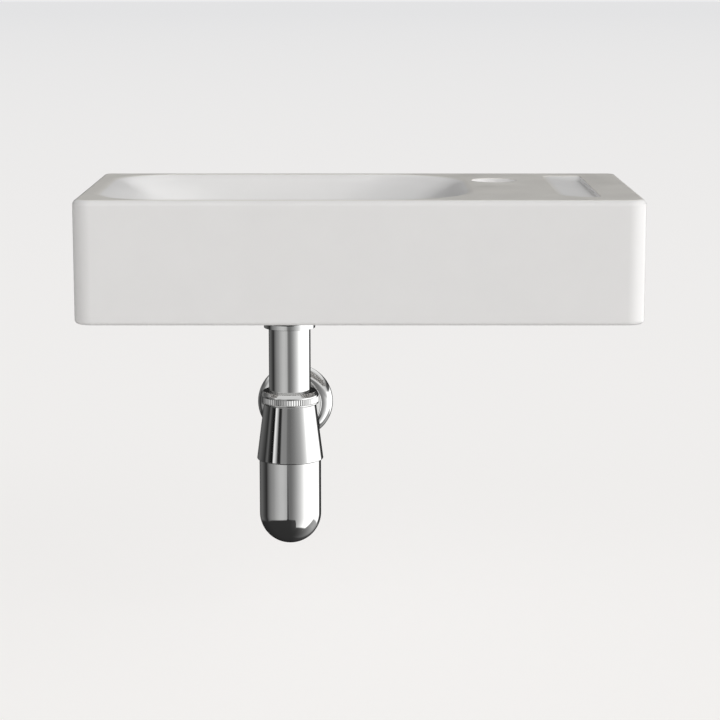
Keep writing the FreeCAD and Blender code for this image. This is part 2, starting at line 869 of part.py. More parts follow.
def outlet_nut():
    body = new_body("outlet_nut")
    place_on_outlet(body)
    start = "outlet_nut_end - outlet_nut_length"
    revolve(body, [
        ("outlet_nut_bore", start),
        ("outlet_nut_radius", start),
        ("outlet_nut_radius", "outlet_nut_end - outlet_edge"),
        ("outlet_nut_radius - outlet_edge", "outlet_nut_end"),
        ("tube_guide", "outlet_nut_end"),
        ("tube_guide", "outlet_lip_start"),
        ("outlet_nut_bore", "outlet_lip_start"),
    ])
    return body


# Lays a piece on the outlet's level axis, drawn from the wall outwards.
def place_on_wall(body):
    place(body, "-drain_from_middle", "0", "rim_above_fixings - outlet_below_rim", tilt=90)


def wall_rosette():
    body = new_body("wall_rosette")
    place_on_wall(body)
    collar_top, collar_side = "rosette_collar_height", "rosette_collar_radius"
    ring_start = "(rosette_collar_height - rosette_wall - grip_ring_length)"
    inner_radius = f"({collar_side} - rosette_wall)"
    revolve(body, [
        ("rosette_radius", "0"),
        ("rosette_radius", "rosette_rim"),
        (collar_side, "rosette_dome_height", "rosette_dome_bulge", 1),
        (collar_side, f"{collar_top} - rosette_collar_edge"),
        (f"{collar_side} - rosette_collar_edge", collar_top, "rosette_collar_edge", 1),
        ("tube_guide", collar_top),
        ("tube_guide", f"{collar_top} - rosette_wall"),
        ("grip_ring_radius", f"{collar_top} - rosette_wall"),
        ("grip_ring_radius", ring_start),
        (inner_radius, ring_start),
        (inner_radius, "rosette_dome_height - rosette_wall"),
        ("rosette_radius - rosette_wall", "rosette_rim - rosette_wall", "rosette_dome_bulge", -1),
    ])
    return body


def rosette_ring():
    body = new_body("rosette_ring")
    place_on_wall(body)
    outer_end = "rosette_collar_height - rosette_wall"
    ring(body, "tube_radius + grip_fit", "grip_ring_radius", f"{outer_end} - grip_ring_length", outer_end)
    return body


PIECES = [
    basin_shell, hanger_bolts, fixing_bushes, fixing_washers, fixing_nuts,
    waste_body, waste_seal, under_washer, waste_backnut, waste_cover, cover_stem,
    inlet_nut, inlet_seal, inlet_tube, ring_nut, slip_ring, tube_seal,
    trap_body, cup_seal, trap_cup, outlet_seal, outlet_tube, outlet_nut,
    wall_rosette, rosette_ring,
]


def check(nodes):
    failed = [item.Label for item in doc.Objects if {"Invalid", "Error"} & set(item.State)]
    unsound = [node.Label for node in nodes if node.Shape.isNull() or not node.Shape.isValid()]
    if failed or unsound:
        raise RuntimeError(f"failed: {failed}, unsound: {unsound}")


def main():
    nodes = [piece() for piece in PIECES]
    doc.recompute()
    check(nodes)
    os.makedirs("parts", exist_ok=True)
    for node in nodes:
        node.Shape.exportStep(f"parts/{node.Label}.step")
        print(node.Label, len(node.Shape.Solids), "solids", round(node.Shape.Volume), "mm3")


main()
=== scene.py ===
import bpy
import bmesh
import json
import math
import numpy as np
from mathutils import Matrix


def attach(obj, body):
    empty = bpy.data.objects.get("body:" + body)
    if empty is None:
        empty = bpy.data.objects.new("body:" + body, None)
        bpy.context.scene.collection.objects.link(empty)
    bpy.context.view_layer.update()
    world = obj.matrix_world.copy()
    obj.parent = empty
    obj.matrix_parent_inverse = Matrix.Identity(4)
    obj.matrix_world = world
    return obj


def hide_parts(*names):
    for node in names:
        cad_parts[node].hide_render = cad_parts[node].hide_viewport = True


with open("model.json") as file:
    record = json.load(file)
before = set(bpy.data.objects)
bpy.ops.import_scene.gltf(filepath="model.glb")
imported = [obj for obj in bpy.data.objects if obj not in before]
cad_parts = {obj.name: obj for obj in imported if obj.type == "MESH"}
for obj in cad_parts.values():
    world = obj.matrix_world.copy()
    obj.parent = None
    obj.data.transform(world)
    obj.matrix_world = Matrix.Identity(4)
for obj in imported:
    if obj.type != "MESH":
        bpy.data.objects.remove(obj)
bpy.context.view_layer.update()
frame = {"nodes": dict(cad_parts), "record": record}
print("stage: frame loaded,", len(frame["nodes"]), "nodes")

# Sizes are in millimetres in the frame's own axes: X right, Y into the wall, Z up, origin on the
# wall midway between the two fixings. Meshes are turned to metres when they are made.
rimLevel = 70.0
drainX, drainY = -53.5, -146.5
outletLevel = -120.4
drainAxis, outletAxis = (drainX, drainY), (drainX, outletLevel)


# A sheet from a grid of points (rows, columns, 3): each face joins four neighbours. A closed grid
# joins its last column to its first. Cells in leaveOut, as (row, column), stay open.
def sheet(grid, closed=True, leaveOut=()):
    rows, columns = grid.shape[:2]
    index = np.arange(rows * columns).reshape(rows, columns)
    following = np.roll(index, -1, axis=1)
    if not closed:
        index, following = index[:, :-1], following[:, :-1]
    quads = np.stack([index[:-1], following[:-1], following[1:], index[1:]], axis=-1)
    keep = np.ones(quads.shape[:2], bool)
    if leaveOut:
        keep[tuple(np.array(leaveOut).T)] = False
    return grid.reshape(-1, 3), quads[keep]


# A flat face with holes: the first loop is the outline, and the others are cut out of it.
def flatFace(*loops):
    flat = bmesh.new()
    for loop in loops:
        corners = [flat.verts.new(point) for point in loop]
        for first, second in zip(corners, corners[1:] + corners[:1]):
            flat.edges.new((first, second))
    bmesh.ops.triangle_fill(flat, use_beauty=True, use_dissolve=False, edges=flat.edges[:])
    flat.verts.index_update()
    points = np.array([corner.co[:] for corner in flat.verts])
    faces = np.array([[corner.index for corner in face.verts] for face in flat.faces])
    flat.free()
    return points, faces


# Joins sheets to one mesh, merges their shared rims and turns every face outwards.
def makePiece(name, sheets, sharpFrom=34, mergeWithin=0.002):
    points, faces, start = [], [], 0
    for sheetPoints, sheetFaces in sheets:
        points.append(sheetPoints)
        faces.extend((sheetFaces + start).tolist())
        start += len(sheetPoints)
    mesh = bpy.data.meshes.new(name)
    mesh.from_pydata((np.concatenate(points) / 1000).tolist(), [], faces)
    work = bmesh.new()
    work.from_mesh(mesh)
    bmesh.ops.remove_doubles(work, verts=work.verts, dist=mergeWithin / 1000)
    bmesh.ops.dissolve_degenerate(work, edges=work.edges, dist=mergeWithin / 1000)
    bmesh.ops.recalc_face_normals(work, faces=work.faces)
    openEdges = sum(1 for edge in work.edges if not edge.is_manifold)
    work.to_mesh(mesh)
    work.free()
    mesh.shade_smooth()
    mesh.set_sharp_from_angle(angle=math.radians(sharpFrom))
    piece = bpy.data.objects.new(name, mesh)
    bpy.context.scene.collection.objects.link(piece)
    shade = piece.modifiers.new("evenShade", "WEIGHTED_NORMAL")
    shade.keep_sharp = True
    print("piece:", name, len(mesh.polygons), "faces,", openEdges, "open edges")
    return piece


# A profile of (radius, height, fillet) corners, with each corner turned into a short parabola that
# starts and ends one fillet away from it: p(t) = (1-t)^2 start + 2t(1-t) corner + t^2 end.
def softProfile(corners, closed=True, steps=5):
    table = np.array([tuple(corner) + (0.0,) * (3 - len(corner)) for corner in corners], float)
    place, fillet = table[:, :2], table[:, 2:3]
    before, after = np.roll(place, 1, axis=0) - place, np.roll(place, -1, axis=0) - place
    if not closed:
        before[0], after[-1] = after[0], before[-1]
        fillet[0] = fillet[-1] = 0
    reach = [np.linalg.norm(side, axis=1, keepdims=True) for side in (before, after)]
    start = place + before / reach[0] * np.minimum(fillet, reach[0] * 0.48)
    end = place + after / reach[1] * np.minimum(fillet, reach[1] * 0.48)
    t = np.linspace(0, 1, steps)[None, :, None]
    curve = (1 - t) ** 2 * start[:, None] + 2 * t * (1 - t) * place[:, None] + t ** 2 * end[:, None]
    flat = curve.reshape(-1, 2)
    apart = np.linalg.norm(np.diff(flat, axis=0, prepend=flat[-1:] + 1), axis=1) > 1e-4
    return flat[apart]


# An arc of a profile about a point on its axis: size*cos(angle), height + size*sin(angle).
def profileArc(height, size, startAngle, endAngle, steps=26):
    angle = np.radians(np.linspace(startAngle, endAngle, steps))
    return [(size * c, height + size * s) for c, s in zip(np.cos(angle), np.sin(angle))]


# Turned surface: x = r(s) cos a, y = r(s) sin a, height = h(s). shape(r, h, a) may change r, for
# ribs, flats and threads. An upright axis stands at (x, y); a level one runs along Y at (x, z).
def turned(profile, centre, closed=True, level=False, segments=96, shape=None):
    if closed:
        profile = np.concatenate([profile, profile[:1]])
    angle = np.linspace(0, 2 * np.pi, segments, endpoint=False)[None, :]
    radius, height = profile[:, :1], profile[:, 1:2]
    if shape is not None:
        radius = shape(radius, height, angle)
    across, along, height = radius * np.cos(angle), radius * np.sin(angle), height + 0 * angle
    if level:
        return sheet(np.stack([centre[0] + across, height, centre[1] + along], axis=-1))
    return sheet(np.stack([centre[0] + across, centre[1] + along, height], axis=-1))


def linear(hexColour):
    parts = np.array([int(hexColour[i:i + 2], 16) for i in (0, 2, 4)]) / 255
    return (*np.where(parts <= 0.04045, parts / 12.92, ((parts + 0.055) / 1.055) ** 2.4).tolist(), 1.0)


# Adds a shader node. Settings go to a socket of that name or number, or else to the node itself, and
# "stops" fill a colour ramp. Links join a socket to an output, or to another node's first output.
def addNode(tree, kind, settings=None, links=None):
    made = tree.nodes.new("ShaderNode" + kind)
    for key, setting in (settings or {}).items():
        if key == "stops":
            for position, _ in setting[1:-1]:
                made.color_ramp.elements.new(position)
            for stop, (position, value) in zip(made.color_ramp.elements, setting):
                stop.position, stop.color = position, (value, value, value, 1)
        elif isinstance(key, int) or key in made.inputs:
            made.inputs[key].default_value = setting
        else:
            setattr(made, key, setting)
    for key, source in (links or {}).items():
        tree.links.new(source.outputs[0] if isinstance(source, bpy.types.Node) else source, made.inputs[key])
    return made


def emptyTree(owner):
    owner.use_nodes = True
    owner.node_tree.nodes.clear()
    return owner.node_tree


# Every finish is two colours in soft patches, a gloss that changes with the patches, and a fine
# relief. A glaze can have a third colour on its flat top: painted shade, darker and warmer up there.
def makeFinish(name, look):
    material = bpy.data.materials.new(name)
    tree = emptyTree(material)
    place = addNode(tree, "TexCoord").outputs["Object"]
    noises = []
    for millimetres, detail, stretch in (look["patch"], look["grain"]):
        mapping = addNode(tree, "Mapping", {"Scale": stretch}, {"Vector": place})
        noises.append(addNode(tree, "TexNoise", {"Scale": 1000 / millimetres, "Detail": detail},
                              {"Vector": mapping}))
    patch, grain = noises
    colours = {"data_type": "RGBA", 6: linear(look["colour"]), 7: linear(look["patchColour"])}
    colour = addNode(tree, "Mix", colours, {0: patch}).outputs[2]
    # painted shade: above the given heights the flat top is mixed toward a darker, warmer colour
    if "shadedTopColour" in look:
        height = addNode(tree, "SeparateXYZ", None, {"Vector": place}).outputs["Z"]
        heights = {"From Min": look["shadedTopFrom"] / 1000, "From Max": look["shadedTopTo"] / 1000}
        shadedTop = addNode(tree, "MapRange", heights, {0: height})
        shadedTopColours = {"data_type": "RGBA", 7: linear(look["shadedTopColour"])}
        colour = addNode(tree, "Mix", shadedTopColours, {0: shadedTop, 6: colour}).outputs[2]
    lowNoise, highNoise = 0.3, 0.7  # nearly all of the patches' noise lies between these
    smooth, rough = look["roughness"]
    spans = {"From Min": lowNoise, "From Max": highNoise, "To Min": smooth, "To Max": rough}
    gloss = addNode(tree, "MapRange", spans, {0: patch})
    relief = {"Strength": look["relief"], "Distance": look["reliefDepth"] / 1000}
    bump = addNode(tree, "Bump", relief, {"Height": grain})
    shader = addNode(tree, "BsdfPrincipled", look["shader"],
                     {"Base Color": colour, "Roughness": gloss, "Normal": bump})
    addNode(tree, "OutputMaterial", None, {"Surface": shader})
    return material


# Fired glaze on sanitary ceramic: a soft satin gloss over a body that is never quite flat. On the
# flat top the colour is painted a little warmer and darker: painted shade, as the top gets less light.
glazedCeramicLook = {
    "colour": "f4f3f2", "patchColour": "efeeed", "patch": (34, 2, (1, 1, 1)), "grain": (7, 3, (1, 1, 1)),
    "roughness": (0.29, 0.38), "relief": 0.35, "reliefDepth": 0.06, "shader": {"IOR": 1.52},
    # painted shade on the flat top: a darker, warmer colour between these heights in millimetres
    "shadedTopColour": "e8e5df", "shadedTopFrom": 69.2, "shadedTopTo": 69.8,
}
# Bare fired clay on the wall side, where the basin stood in the kiln: matt, cream and grainy.
bareCeramicLook = {
    "colour": "e6dfd2", "patchColour": "d3cabb", "patch": (22, 4, (1, 1, 1)), "grain": (0.9, 2, (1, 1, 1)),
    "roughness": (0.82, 0.9), "relief": 0.6, "reliefDepth": 0.2, "shader": {"IOR": 1.5},
}
# Chrome plate over polished brass: a clear mirror with faint wipe marks and a slight unevenness
# from the polishing wheel, which bends straight reflections a little.
chromePlateLook = {
    "colour": "d2d2d1", "patchColour": "c9c9c8", "patch": (11, 4, (1, 1, 0.45)),
    "grain": (16, 1, (1, 1, 0.6)), "roughness": (0.03, 0.075), "relief": 0.22, "reliefDepth": 0.12,
    "shader": {"Metallic": 1.0},
}
# Moulded black rubber: near-black and matt, with the fine bloom of sulphur and a pitted skin.
blackRubberLook = {
    "colour": "1b1b1c", "patchColour": "2c2c2b", "patch": (9, 4, (1, 1, 1)), "grain": (0.7, 1, (1, 1, 1)),
    "roughness": (0.5, 0.72), "relief": 0.5, "reliefDepth": 0.08, "shader": {"IOR": 1.5},
}
# Injection-moulded nylon: milky, a little see-through at its edges, with a spark-eroded grain.
whiteNylonLook = {
    "colour": "ecebe2", "patchColour": "e0ded2", "patch": (12, 3, (1, 1, 1)), "grain": (0.5, 1, (1, 1, 1)),
    "roughness": (0.42, 0.56), "relief": 0.4, "reliefDepth": 0.05,
    "shader": {
        "Subsurface Weight": 0.25, "Subsurface Radius": (0.002, 0.002, 0.0016), "Subsurface Scale": 1.0,
    },
}
# Bright zinc plate on steel: grey with faint straw patches and a drawn grain along the bolt.
zincSteelLook = {
    "colour": "b9bdc4", "patchColour": "bdb7a4", "patch": (5, 3, (1, 1, 1)), "grain": (0.8, 2, (1, 0.15, 1)),
    "roughness": (0.24, 0.42), "relief": 0.4, "reliefDepth": 0.06, "shader": {"Metallic": 1.0},
}
# Turned brass without plate: warm yellow, browned in places, with rings left by the lathe.
turnedBrassLook = {
    "colour": "cfae6a", "patchColour": "a5824a", "patch": (8, 4, (1, 1, 1)),
    "grain": (0.7, 1, (0.05, 0.05, 1)), "roughness": (0.25, 0.45), "relief": 0.4, "reliefDepth": 0.08,
    "shader": {"Metallic": 1.0},
}

finishes = {
    "glazed_ceramic": makeFinish("glazedCeramic", glazedCeramicLook),
    "chrome_plate": makeFinish("chromePlate", chromePlateLook),
    "black_rubber": makeFinish("blackRubber", blackRubberLook),
    "white_nylon": makeFinish("whiteNylon", whiteNylonLook),
    "zinc_steel": makeFinish("zincSteel", zincSteelLook),
    "plain_brass": makeFinish("turnedBrass", turnedBrassLook),
}
bareCeramic = makeFinish("bareCeramic", bareCeramicLook)
slots = {part["node"]: part["material_slot"] for part in frame["record"]["subparts"]}
for node, slotName in slots.items():
    cadMesh = frame["nodes"][node].data
    cadMesh.materials.clear()
    cadMesh.materials.append(finishes[slotName])
print("stage: materials made")


# Makes a finished piece from its sheets, with its node's name unless it has one of its own. It
# takes the node's material, rides on a body and stands for the node.
def settle(node, sheets, body="basin", name=None):
    words = node.split("_")
    piece = makePiece(name or words[0] + "".join(word.title() for word in words[1:]), sheets)
    piece.data.materials.append(finishes[slots[node]])
    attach(piece, body)
    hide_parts(node)
    return piece


# A piece that is one turned profile, about the drain's axis or about the outlet's level one.
def settleTurned(node, profile, body="basin", level=False, closed=True, **turning):
    centre = outletAxis if level else drainAxis
    settle(node, [turned(softProfile(profile, closed), centre, closed, level, **turning)], body)


# The profile of a ring: its bore and radius, its two faces, and the fillets of both.
def ringProfile(bore, radius, start, end, edge=0, boreEdge=0):
    return [(bore, start, boreEdge), (radius, start, edge), (radius, end, edge), (bore, end, boreEdge)]


# Rounded rectangles, one for each row of sides (left, right, front, back): every corner is a
# quarter circle, centre + radius*(cos a, sin a), and every straight run is split evenly.
# The radii go round from the front left, anticlockwise from above.
def roundedLoops(sides, radii, cornerSteps=18, runSteps=12):
    left, right, front, back = (np.atleast_1d(np.asarray(side, float))[:, None] for side in sides)
    count = max(len(left), len(right), len(front), len(back))
    quarter = np.linspace(0, np.pi / 2, cornerSteps + 1)[None, :]
    corners = []
    places = ((left, front, 1, 1), (right, front, -1, 1), (right, back, -1, -1), (left, back, 1, -1))
    for turn, (radius, (fromX, fromY, inwardX, inwardY)) in enumerate(zip(radii, places)):
        radius = np.broadcast_to(np.atleast_1d(radius), (count,))[:, None]
        angle = quarter + math.pi + turn * math.pi / 2
        corners.append(np.stack([fromX + inwardX * radius + radius * np.cos(angle),
                                 fromY + inwardY * radius + radius * np.sin(angle)], axis=-1))
    t = np.linspace(0, 1, runSteps + 1)[1:-1][None, :, None]
    loops = []
    for corner, following in zip(corners, corners[1:] + corners[:1]):
        loops += [corner, corner[:, -1:] * (1 - t) + following[:, :1] * t]
    return np.concatenate(loops, axis=1)


def lift(loops, levels):
    levels = np.broadcast_to(np.atleast_1d(levels), (len(loops),))[:, None, None]
    return np.concatenate([loops, np.broadcast_to(levels, (*loops.shape[:2], 1))], axis=-1)


# A rounded edge in steps: how far it reaches past the wall, and how far it has dropped. The first
# step lies on the flat face that the edge starts from, a little further out, and keeps it flat.
def roundedEdge(radius, steps, guard):
    angle = np.linspace(0, np.pi / 2, steps)
    reach, drop = radius * (1 - np.sin(angle)), radius * (1 - np.cos(angle))
    return np.concatenate([[radius + guard], reach]), np.concatenate([[0], drop])


basinSizes = {
    "halfLength": 210, "depth": 220, "underside": -22, "frontCorner": 14, "backCorner": 8,
    "topEdge": 4.5, "lowEdge": 3, "sideWall": 10, "backWall": 12, "deck": 12, "hollowCorner": 6,
    "hollowEdge": 1, "hollowFillet": 3, "cornerSteps": 12,
}
bowlSizes = {
    "left": -197, "right": 85, "front": -209, "back": -14, "leftRadius": 45, "rightRadius": 62, "depth": 62,
    "edge": 5, "endEdge": 1.6, "sideRoll": 0.5, "rollEase": 0.55, "sideEase": 1.5, "backEase": 1.8,
    "frontEase": 1.2, "cornerSwell": 20, "floorHalf": 38, "floorRadius": 35, "floorThickness": 14,
    "spread": 4, "underEase": 1.5, "levels": 44, "floorRings": 4, "softenPasses": 30,
    "seatRadius": 32, "seatEdge": 0.5, "seatDepth": 5, "holeRadius": 23,
}
recessSizes = {
    "left": 148, "right": 178, "front": -194, "back": -24, "frontRadius": 24, "smallRadius": 3,
    "backRadius": 10, "bedRadius": 0.4, "depth": 2.7, "leftSlope": 29, "rightSlope": 0.2,
    "frontSlope": 6, "backSlope": 24, "edge": 0.25, "rows": 16, "ease": 1.3,
}
tapHoleSizes = {"x": 106.5, "y": -62, "radius": 17.5, "edge": 0.8, "steps": 80}
fixingSizes = {"halfSpacing": 140, "radius": 7.5, "edge": 0.6, "steps": 48}


# The bowl's outline at each depth. The front and back move from the rim to the floor as depth^ease.
# The two ends roll in softly, as roll * depth^rollEase + (1 - roll) * depth^sideEase. Every corner
# swells halfway down, so that the walls run together into one soft dish.
def bowlLoops(depth, spread, endSpread=None):
    b = bowlSizes
    t = np.clip(depth / b["depth"], 0, 1)
    side = b["sideRoll"] * t ** b["rollEase"] + (1 - b["sideRoll"]) * t ** b["sideEase"]
    sides = [b["left"] + (drainX - b["floorHalf"] - b["left"]) * side,
             b["right"] + (drainX + b["floorHalf"] - b["right"]) * side,
             b["front"] + (drainY - b["floorHalf"] - b["front"]) * t ** b["frontEase"],
             b["back"] + (drainY + b["floorHalf"] - b["back"]) * t ** b["backEase"]]
    widest = np.minimum(sides[1] - sides[0], sides[3] - sides[2]) / 2 - 0.5
    swell = b["cornerSwell"] * 4 * t * (1 - t)
    radii = [np.minimum(start + (b["floorRadius"] - start) * t + swell, widest) + spread
             for start in (b["leftRadius"], b["rightRadius"])]
    endSpread = spread if endSpread is None else endSpread
    grown = [sides[0] - endSpread, sides[1] + endSpread, sides[2] - spread, sides[3] + spread]
    return roundedLoops(grown, [radii[0], radii[1], radii[1], radii[0]])


# Evens out a grid of loops between its first and last rows, along the rows and around them.
def soften(grid, firstRow, passes):
    for _ in range(passes):
        along = (grid[firstRow - 1:-2] + grid[firstRow + 1:]) / 2
        around = (np.roll(grid, 1, 1) + np.roll(grid, -1, 1))[firstRow:-1] / 2
        grid[firstRow:-1] += ((along + around) / 2 - grid[firstRow:-1]) / 2
    return grid


# Circles about the drain whose points lie in the same directions as the points of a loop.
def circlesAlong(loop, radii, levels):
    angle = np.arctan2(loop[:, 1] - drainY, loop[:, 0] - drainX)[None, :]
    radii, levels = np.atleast_1d(radii)[:, None], np.atleast_1d(levels)[:, None]
    return np.stack([drainX + radii * np.cos(angle), drainY + radii * np.sin(angle),
                     levels + 0 * angle], axis=-1)


def bowlSurface():
    b = bowlSizes
    edgeReach, edgeDrop = roundedEdge(b["edge"], 10, 0.3)
    wallDepth = np.linspace(b["edge"], b["depth"], b["levels"] + 1)[1:]
    depth = np.concatenate([edgeDrop, wallDepth])
    reach = np.concatenate([edgeReach, 0 * wallDepth])
    loops = bowlLoops(depth, reach, reach * b["endEdge"] / b["edge"])
    grid = lift(loops, rimLevel - depth)
    floor = rimLevel - b["depth"]
    rings = b["floorRings"]
    ringRadii = np.linspace(b["floorHalf"] - 1, b["seatRadius"] + b["seatEdge"], rings + 1)[1:]
    grid = np.concatenate([grid, circlesAlong(loops[-1], ringRadii, np.full(rings, floor))])
    grid = soften(grid, len(edgeDrop), b["softenPasses"])
    seatRadii = b["seatRadius"] + b["seatEdge"] * np.array([0.7, 0, 0])
    seatLevels = floor - np.array([0.24 * b["seatEdge"], b["seatEdge"], b["seatDepth"]])
    holeRadii = np.full(3, b["holeRadius"])
    holeLevels = floor - np.array([b["seatDepth"], b["seatDepth"] + 0.4, b["floorThickness"]])
    lower = circlesAlong(loops[-1], np.concatenate([seatRadii, holeRadii]),
                         np.concatenate([seatLevels, holeLevels]))
    return np.concatenate([grid, lower])


# The underside of the bowl follows the bowl at an even thickness, and is held a hair off the walls
# of the hollow where the two would run into each other.
def bowlUnderside(holeLoop):
    b, s, rings = bowlSizes, basinSizes, bowlSizes["floorRings"]
    depth = np.concatenate([[0], b["depth"] * np.linspace(0, 1, b["levels"]) ** b["underEase"]])
    spread = np.full(len(depth), float(b["spread"]))
    spread[0] += 1.5
    loops = bowlLoops(depth, spread)
    level = rimLevel - s["deck"] - depth * (b["depth"] + b["floorThickness"] - s["deck"]) / b["depth"]
    grid = lift(loops, level)
    floor = circlesAlong(loops[-1], np.linspace(b["floorHalf"] + 2, b["holeRadius"], rings + 2)[1:-1],
                         np.full(rings, rimLevel - b["depth"] - b["floorThickness"]))
    grid = soften(np.concatenate([grid, floor, holeLoop[None]]), 3, b["softenPasses"] // 2)
    wallLeft, wallFront = s["sideWall"] - s["halfLength"], s["sideWall"] - s["depth"]
    margin = s["hollowFillet"] + 0.3
    grid[..., 0] = np.clip(grid[..., 0], wallLeft + margin, None)
    grid[..., 1] = np.clip(grid[..., 1], wallFront + margin, -s["backWall"] - margin)
    return grid


# The soap recess is a scoop. At the share s from its mouth to its bed it is depth * (1 - (1-s)^ease)
# deep, so it slopes gently from its left rim and drops steeply at its right one.
def recessSurface():
    r = recessSizes
    edgeReach, edgeDrop = roundedEdge(r["edge"], 5, 0.5)
    share = np.concatenate([np.zeros(len(edgeDrop)), np.linspace(0, 1, r["rows"])[1:]])
    spread = np.concatenate([edgeReach, np.zeros(r["rows"] - 1)])
    fall = (r["depth"] - r["edge"]) * (1 - (1 - share) ** r["ease"])
    drop = np.concatenate([edgeDrop, np.full(r["rows"] - 1, r["edge"])])
    sides = [r["left"] + r["leftSlope"] * share - spread, r["right"] - r["rightSlope"] * share + spread,
             r["front"] + r["frontSlope"] * share - spread, r["back"] - r["backSlope"] * share + spread]
    radii = [radius * (1 - share) + r["bedRadius"] * share + spread
             for radius in (r["frontRadius"], r["smallRadius"], r["smallRadius"], r["backRadius"])]
    return lift(roundedLoops(sides, radii, 12, 16), rimLevel - drop - fall)


# The loops of the basin's box, drawn in from its outline by the inset, with the corners' radii.
def boxLoops(sides, corners, inset):
    moved = [side + way * inset for side, way in zip(sides, (1, -1, 1, -1))]
    radii = [np.maximum(radius - inset, 0.4) for radius in corners]
    return roundedLoops(moved, radii, basinSizes["cornerSteps"], 1)


# The outer skin runs from the flat rim over the top edge, down the sides and under the low edge.
def basinSkin():
    s = basinSizes
    topReach, topDrop = roundedEdge(s["topEdge"], 9, 0.8)
    lowReach, lowDrop = roundedEdge(s["lowEdge"], 7, 0.8)
    inset = np.concatenate([topReach, lowReach[::-1]])
    level = np.concatenate([rimLevel - topDrop, s["underside"] + lowDrop[::-1]])
    sides = (-s["halfLength"], s["halfLength"], -s["depth"], 0)
    corners = [s["frontCorner"]] * 2 + [s["backCorner"]] * 2
    return lift(boxLoops(sides, corners, inset), level), len(topReach) - 1


# The hollow underneath: a small outer edge, upright walls and a fillet to its ceiling.
def basinHollow():
    s = basinSizes
    right = s["halfLength"] - s["sideWall"]
    sides = (-right, right, s["sideWall"] - s["depth"], -s["backWall"])
    edgeReach, edgeDrop = roundedEdge(s["hollowEdge"], 5, 0.8)
    filletReach, filletDrop = roundedEdge(s["hollowFillet"], 7, 0.8)
    inset = np.concatenate([-edgeReach, filletReach[::-1]])
    ceiling = rimLevel - s["deck"]
    level = np.concatenate([s["underside"] + edgeDrop, ceiling - filletDrop[::-1]])
    return lift(boxLoops(sides, [s["hollowCorner"]] * 4, inset), level), len(edgeReach) - 1


# A bore with a rounded edge at both ends: rings of radius r(k) at level z(k) about its axis.
def bore(sizes, x, y, high, low, edgeSteps):
    reach, drop = roundedEdge(sizes["edge"], edgeSteps, 0.5)
    radii = sizes["radius"] + np.concatenate([reach, reach[::-1]])[:, None]
    levels = np.concatenate([high - drop, low + drop[::-1]])[:, None]
    angle = np.linspace(0, 2 * np.pi, sizes["steps"], endpoint=False)[None, :]
    return np.stack([x + radii * np.cos(angle), y + radii * np.sin(angle), levels + 0 * angle], axis=-1)


def ceramicBasin():
    (skin, skinRow), (hollow, hollowRow) = basinSkin(), basinHollow()
    bowl, recess = bowlSurface(), recessSurface()
    under = bowlUnderside(bowl[-1])
    h, f = tapHoleSizes, fixingSizes
    tapHole = bore(h, h["x"], h["y"], rimLevel, rimLevel - basinSizes["deck"], 6)
    # The bores for the wall fixings are made upright, and their Y and Z change places.
    bores = [bore(f, side * f["halfSpacing"], 0, 0, -basinSizes["backWall"], 4)[..., [0, 2, 1]]
             for side in (-1, 1)]
    backRun = 3 * (basinSizes["cornerSteps"] + 1) - 1  # the cell between the two back corners

    def backWall(grid, row, end):
        corners = np.concatenate([grid[row, [backRun, backRun + 1]], grid[row + 1, [backRun + 1, backRun]]])
        return flatFace(corners, bores[0][end], bores[1][end])

    sheets = [
        sheet(skin, leaveOut=[(skinRow, backRun)]), sheet(hollow, leaveOut=[(hollowRow, backRun)]),
        *map(sheet, (bowl, under, recess, tapHole, *bores)),
        flatFace(skin[0], bowl[0], recess[0], tapHole[0]), flatFace(recess[-1]),
        flatFace(skin[-1], hollow[0]), flatFace(hollow[-1], under[0], tapHole[-1]),
        backWall(skin, skinRow, 0), backWall(hollow, hollowRow, -1),
    ]
    piece = settle("basin_shell", sheets, name="ceramicBasin")
    piece.data.materials.append(bareCeramic)  # the second material, for the faces on the wall
    count = len(piece.data.polygons)
    centres, normals = np.empty(count * 3), np.empty(count * 3)
    piece.data.polygons.foreach_get("center", centres)
    piece.data.polygons.foreach_get("normal", normals)
    onWall = (centres[1::3] > -0.0005) & (normals[1::3] > 0.9)  # in metres, facing the wall
    piece.data.polygons.foreach_set("material_index", onWall.astype(np.int32))


ceramicBasin()
print("stage: basin made")

boltSizes = {
    "x": 140, "wallRadius": 5, "roomRadius": 4.8, "wallEnd": 60, "roomEnd": -31, "point": 4, "chamfer": 0.8,
    "woodFrom": 8, "woodPitch": 3.5, "woodDepth": 1.1, "pitch": 1.5, "threadDepth": 0.6, "threadEnd": -2,
    "threadOver": 4.5, "rowsPerTurn": 10,
}
bushSizes = {"bore": 4.8, "sleeve": 7.3, "flange": 12, "from": -2, "face": -12, "room": -15, "edge": 0.5}
washerSizes = {"bore": 4.8, "radius": 11, "from": -15, "to": -17, "edge": 0.3}
nutSizes = {"acrossFlats": 17, "bore": 4.8, "from": -17, "to": -25, "chamfer": 30}


# The reach of a hexagon's side at an angle is flat / cos(a - middle of that side); a cone at each
# end, radius + depth from the end / tan(chamfer), takes off the six points.
def hexagon(acrossFlats, low, high, chamfer):
    slope, half = math.tan(math.radians(chamfer)), acrossFlats / 2

    def shape(radius, height, angle):
        flat = half / np.cos(np.mod(angle + np.pi / 6, np.pi / 3) - np.pi / 6)
        depth = np.minimum(height - low, high - height)
        cone = half * 0.99 + depth / slope
        return np.where(radius > acrossFlats * 0.4, np.minimum(flat, cone) * radius / half, radius)

    return shape


# A screw thread: the radius falls by depth * |2 * fraction(height / pitch - a / turn) - 1|, and the
# fall fades in over one pitch at both ends.
def thread(low, high, pitch, depth, radiusOver):
    def shape(radius, height, angle):
        tooth = np.abs(2 * np.mod(height / pitch - angle / (2 * np.pi), 1) - 1)
        fade = np.clip(np.minimum(height - low, high - height) / pitch, 0, 1)
        return np.where(radius > radiusOver, radius - depth * tooth * fade, radius + 0 * angle)

    return shape


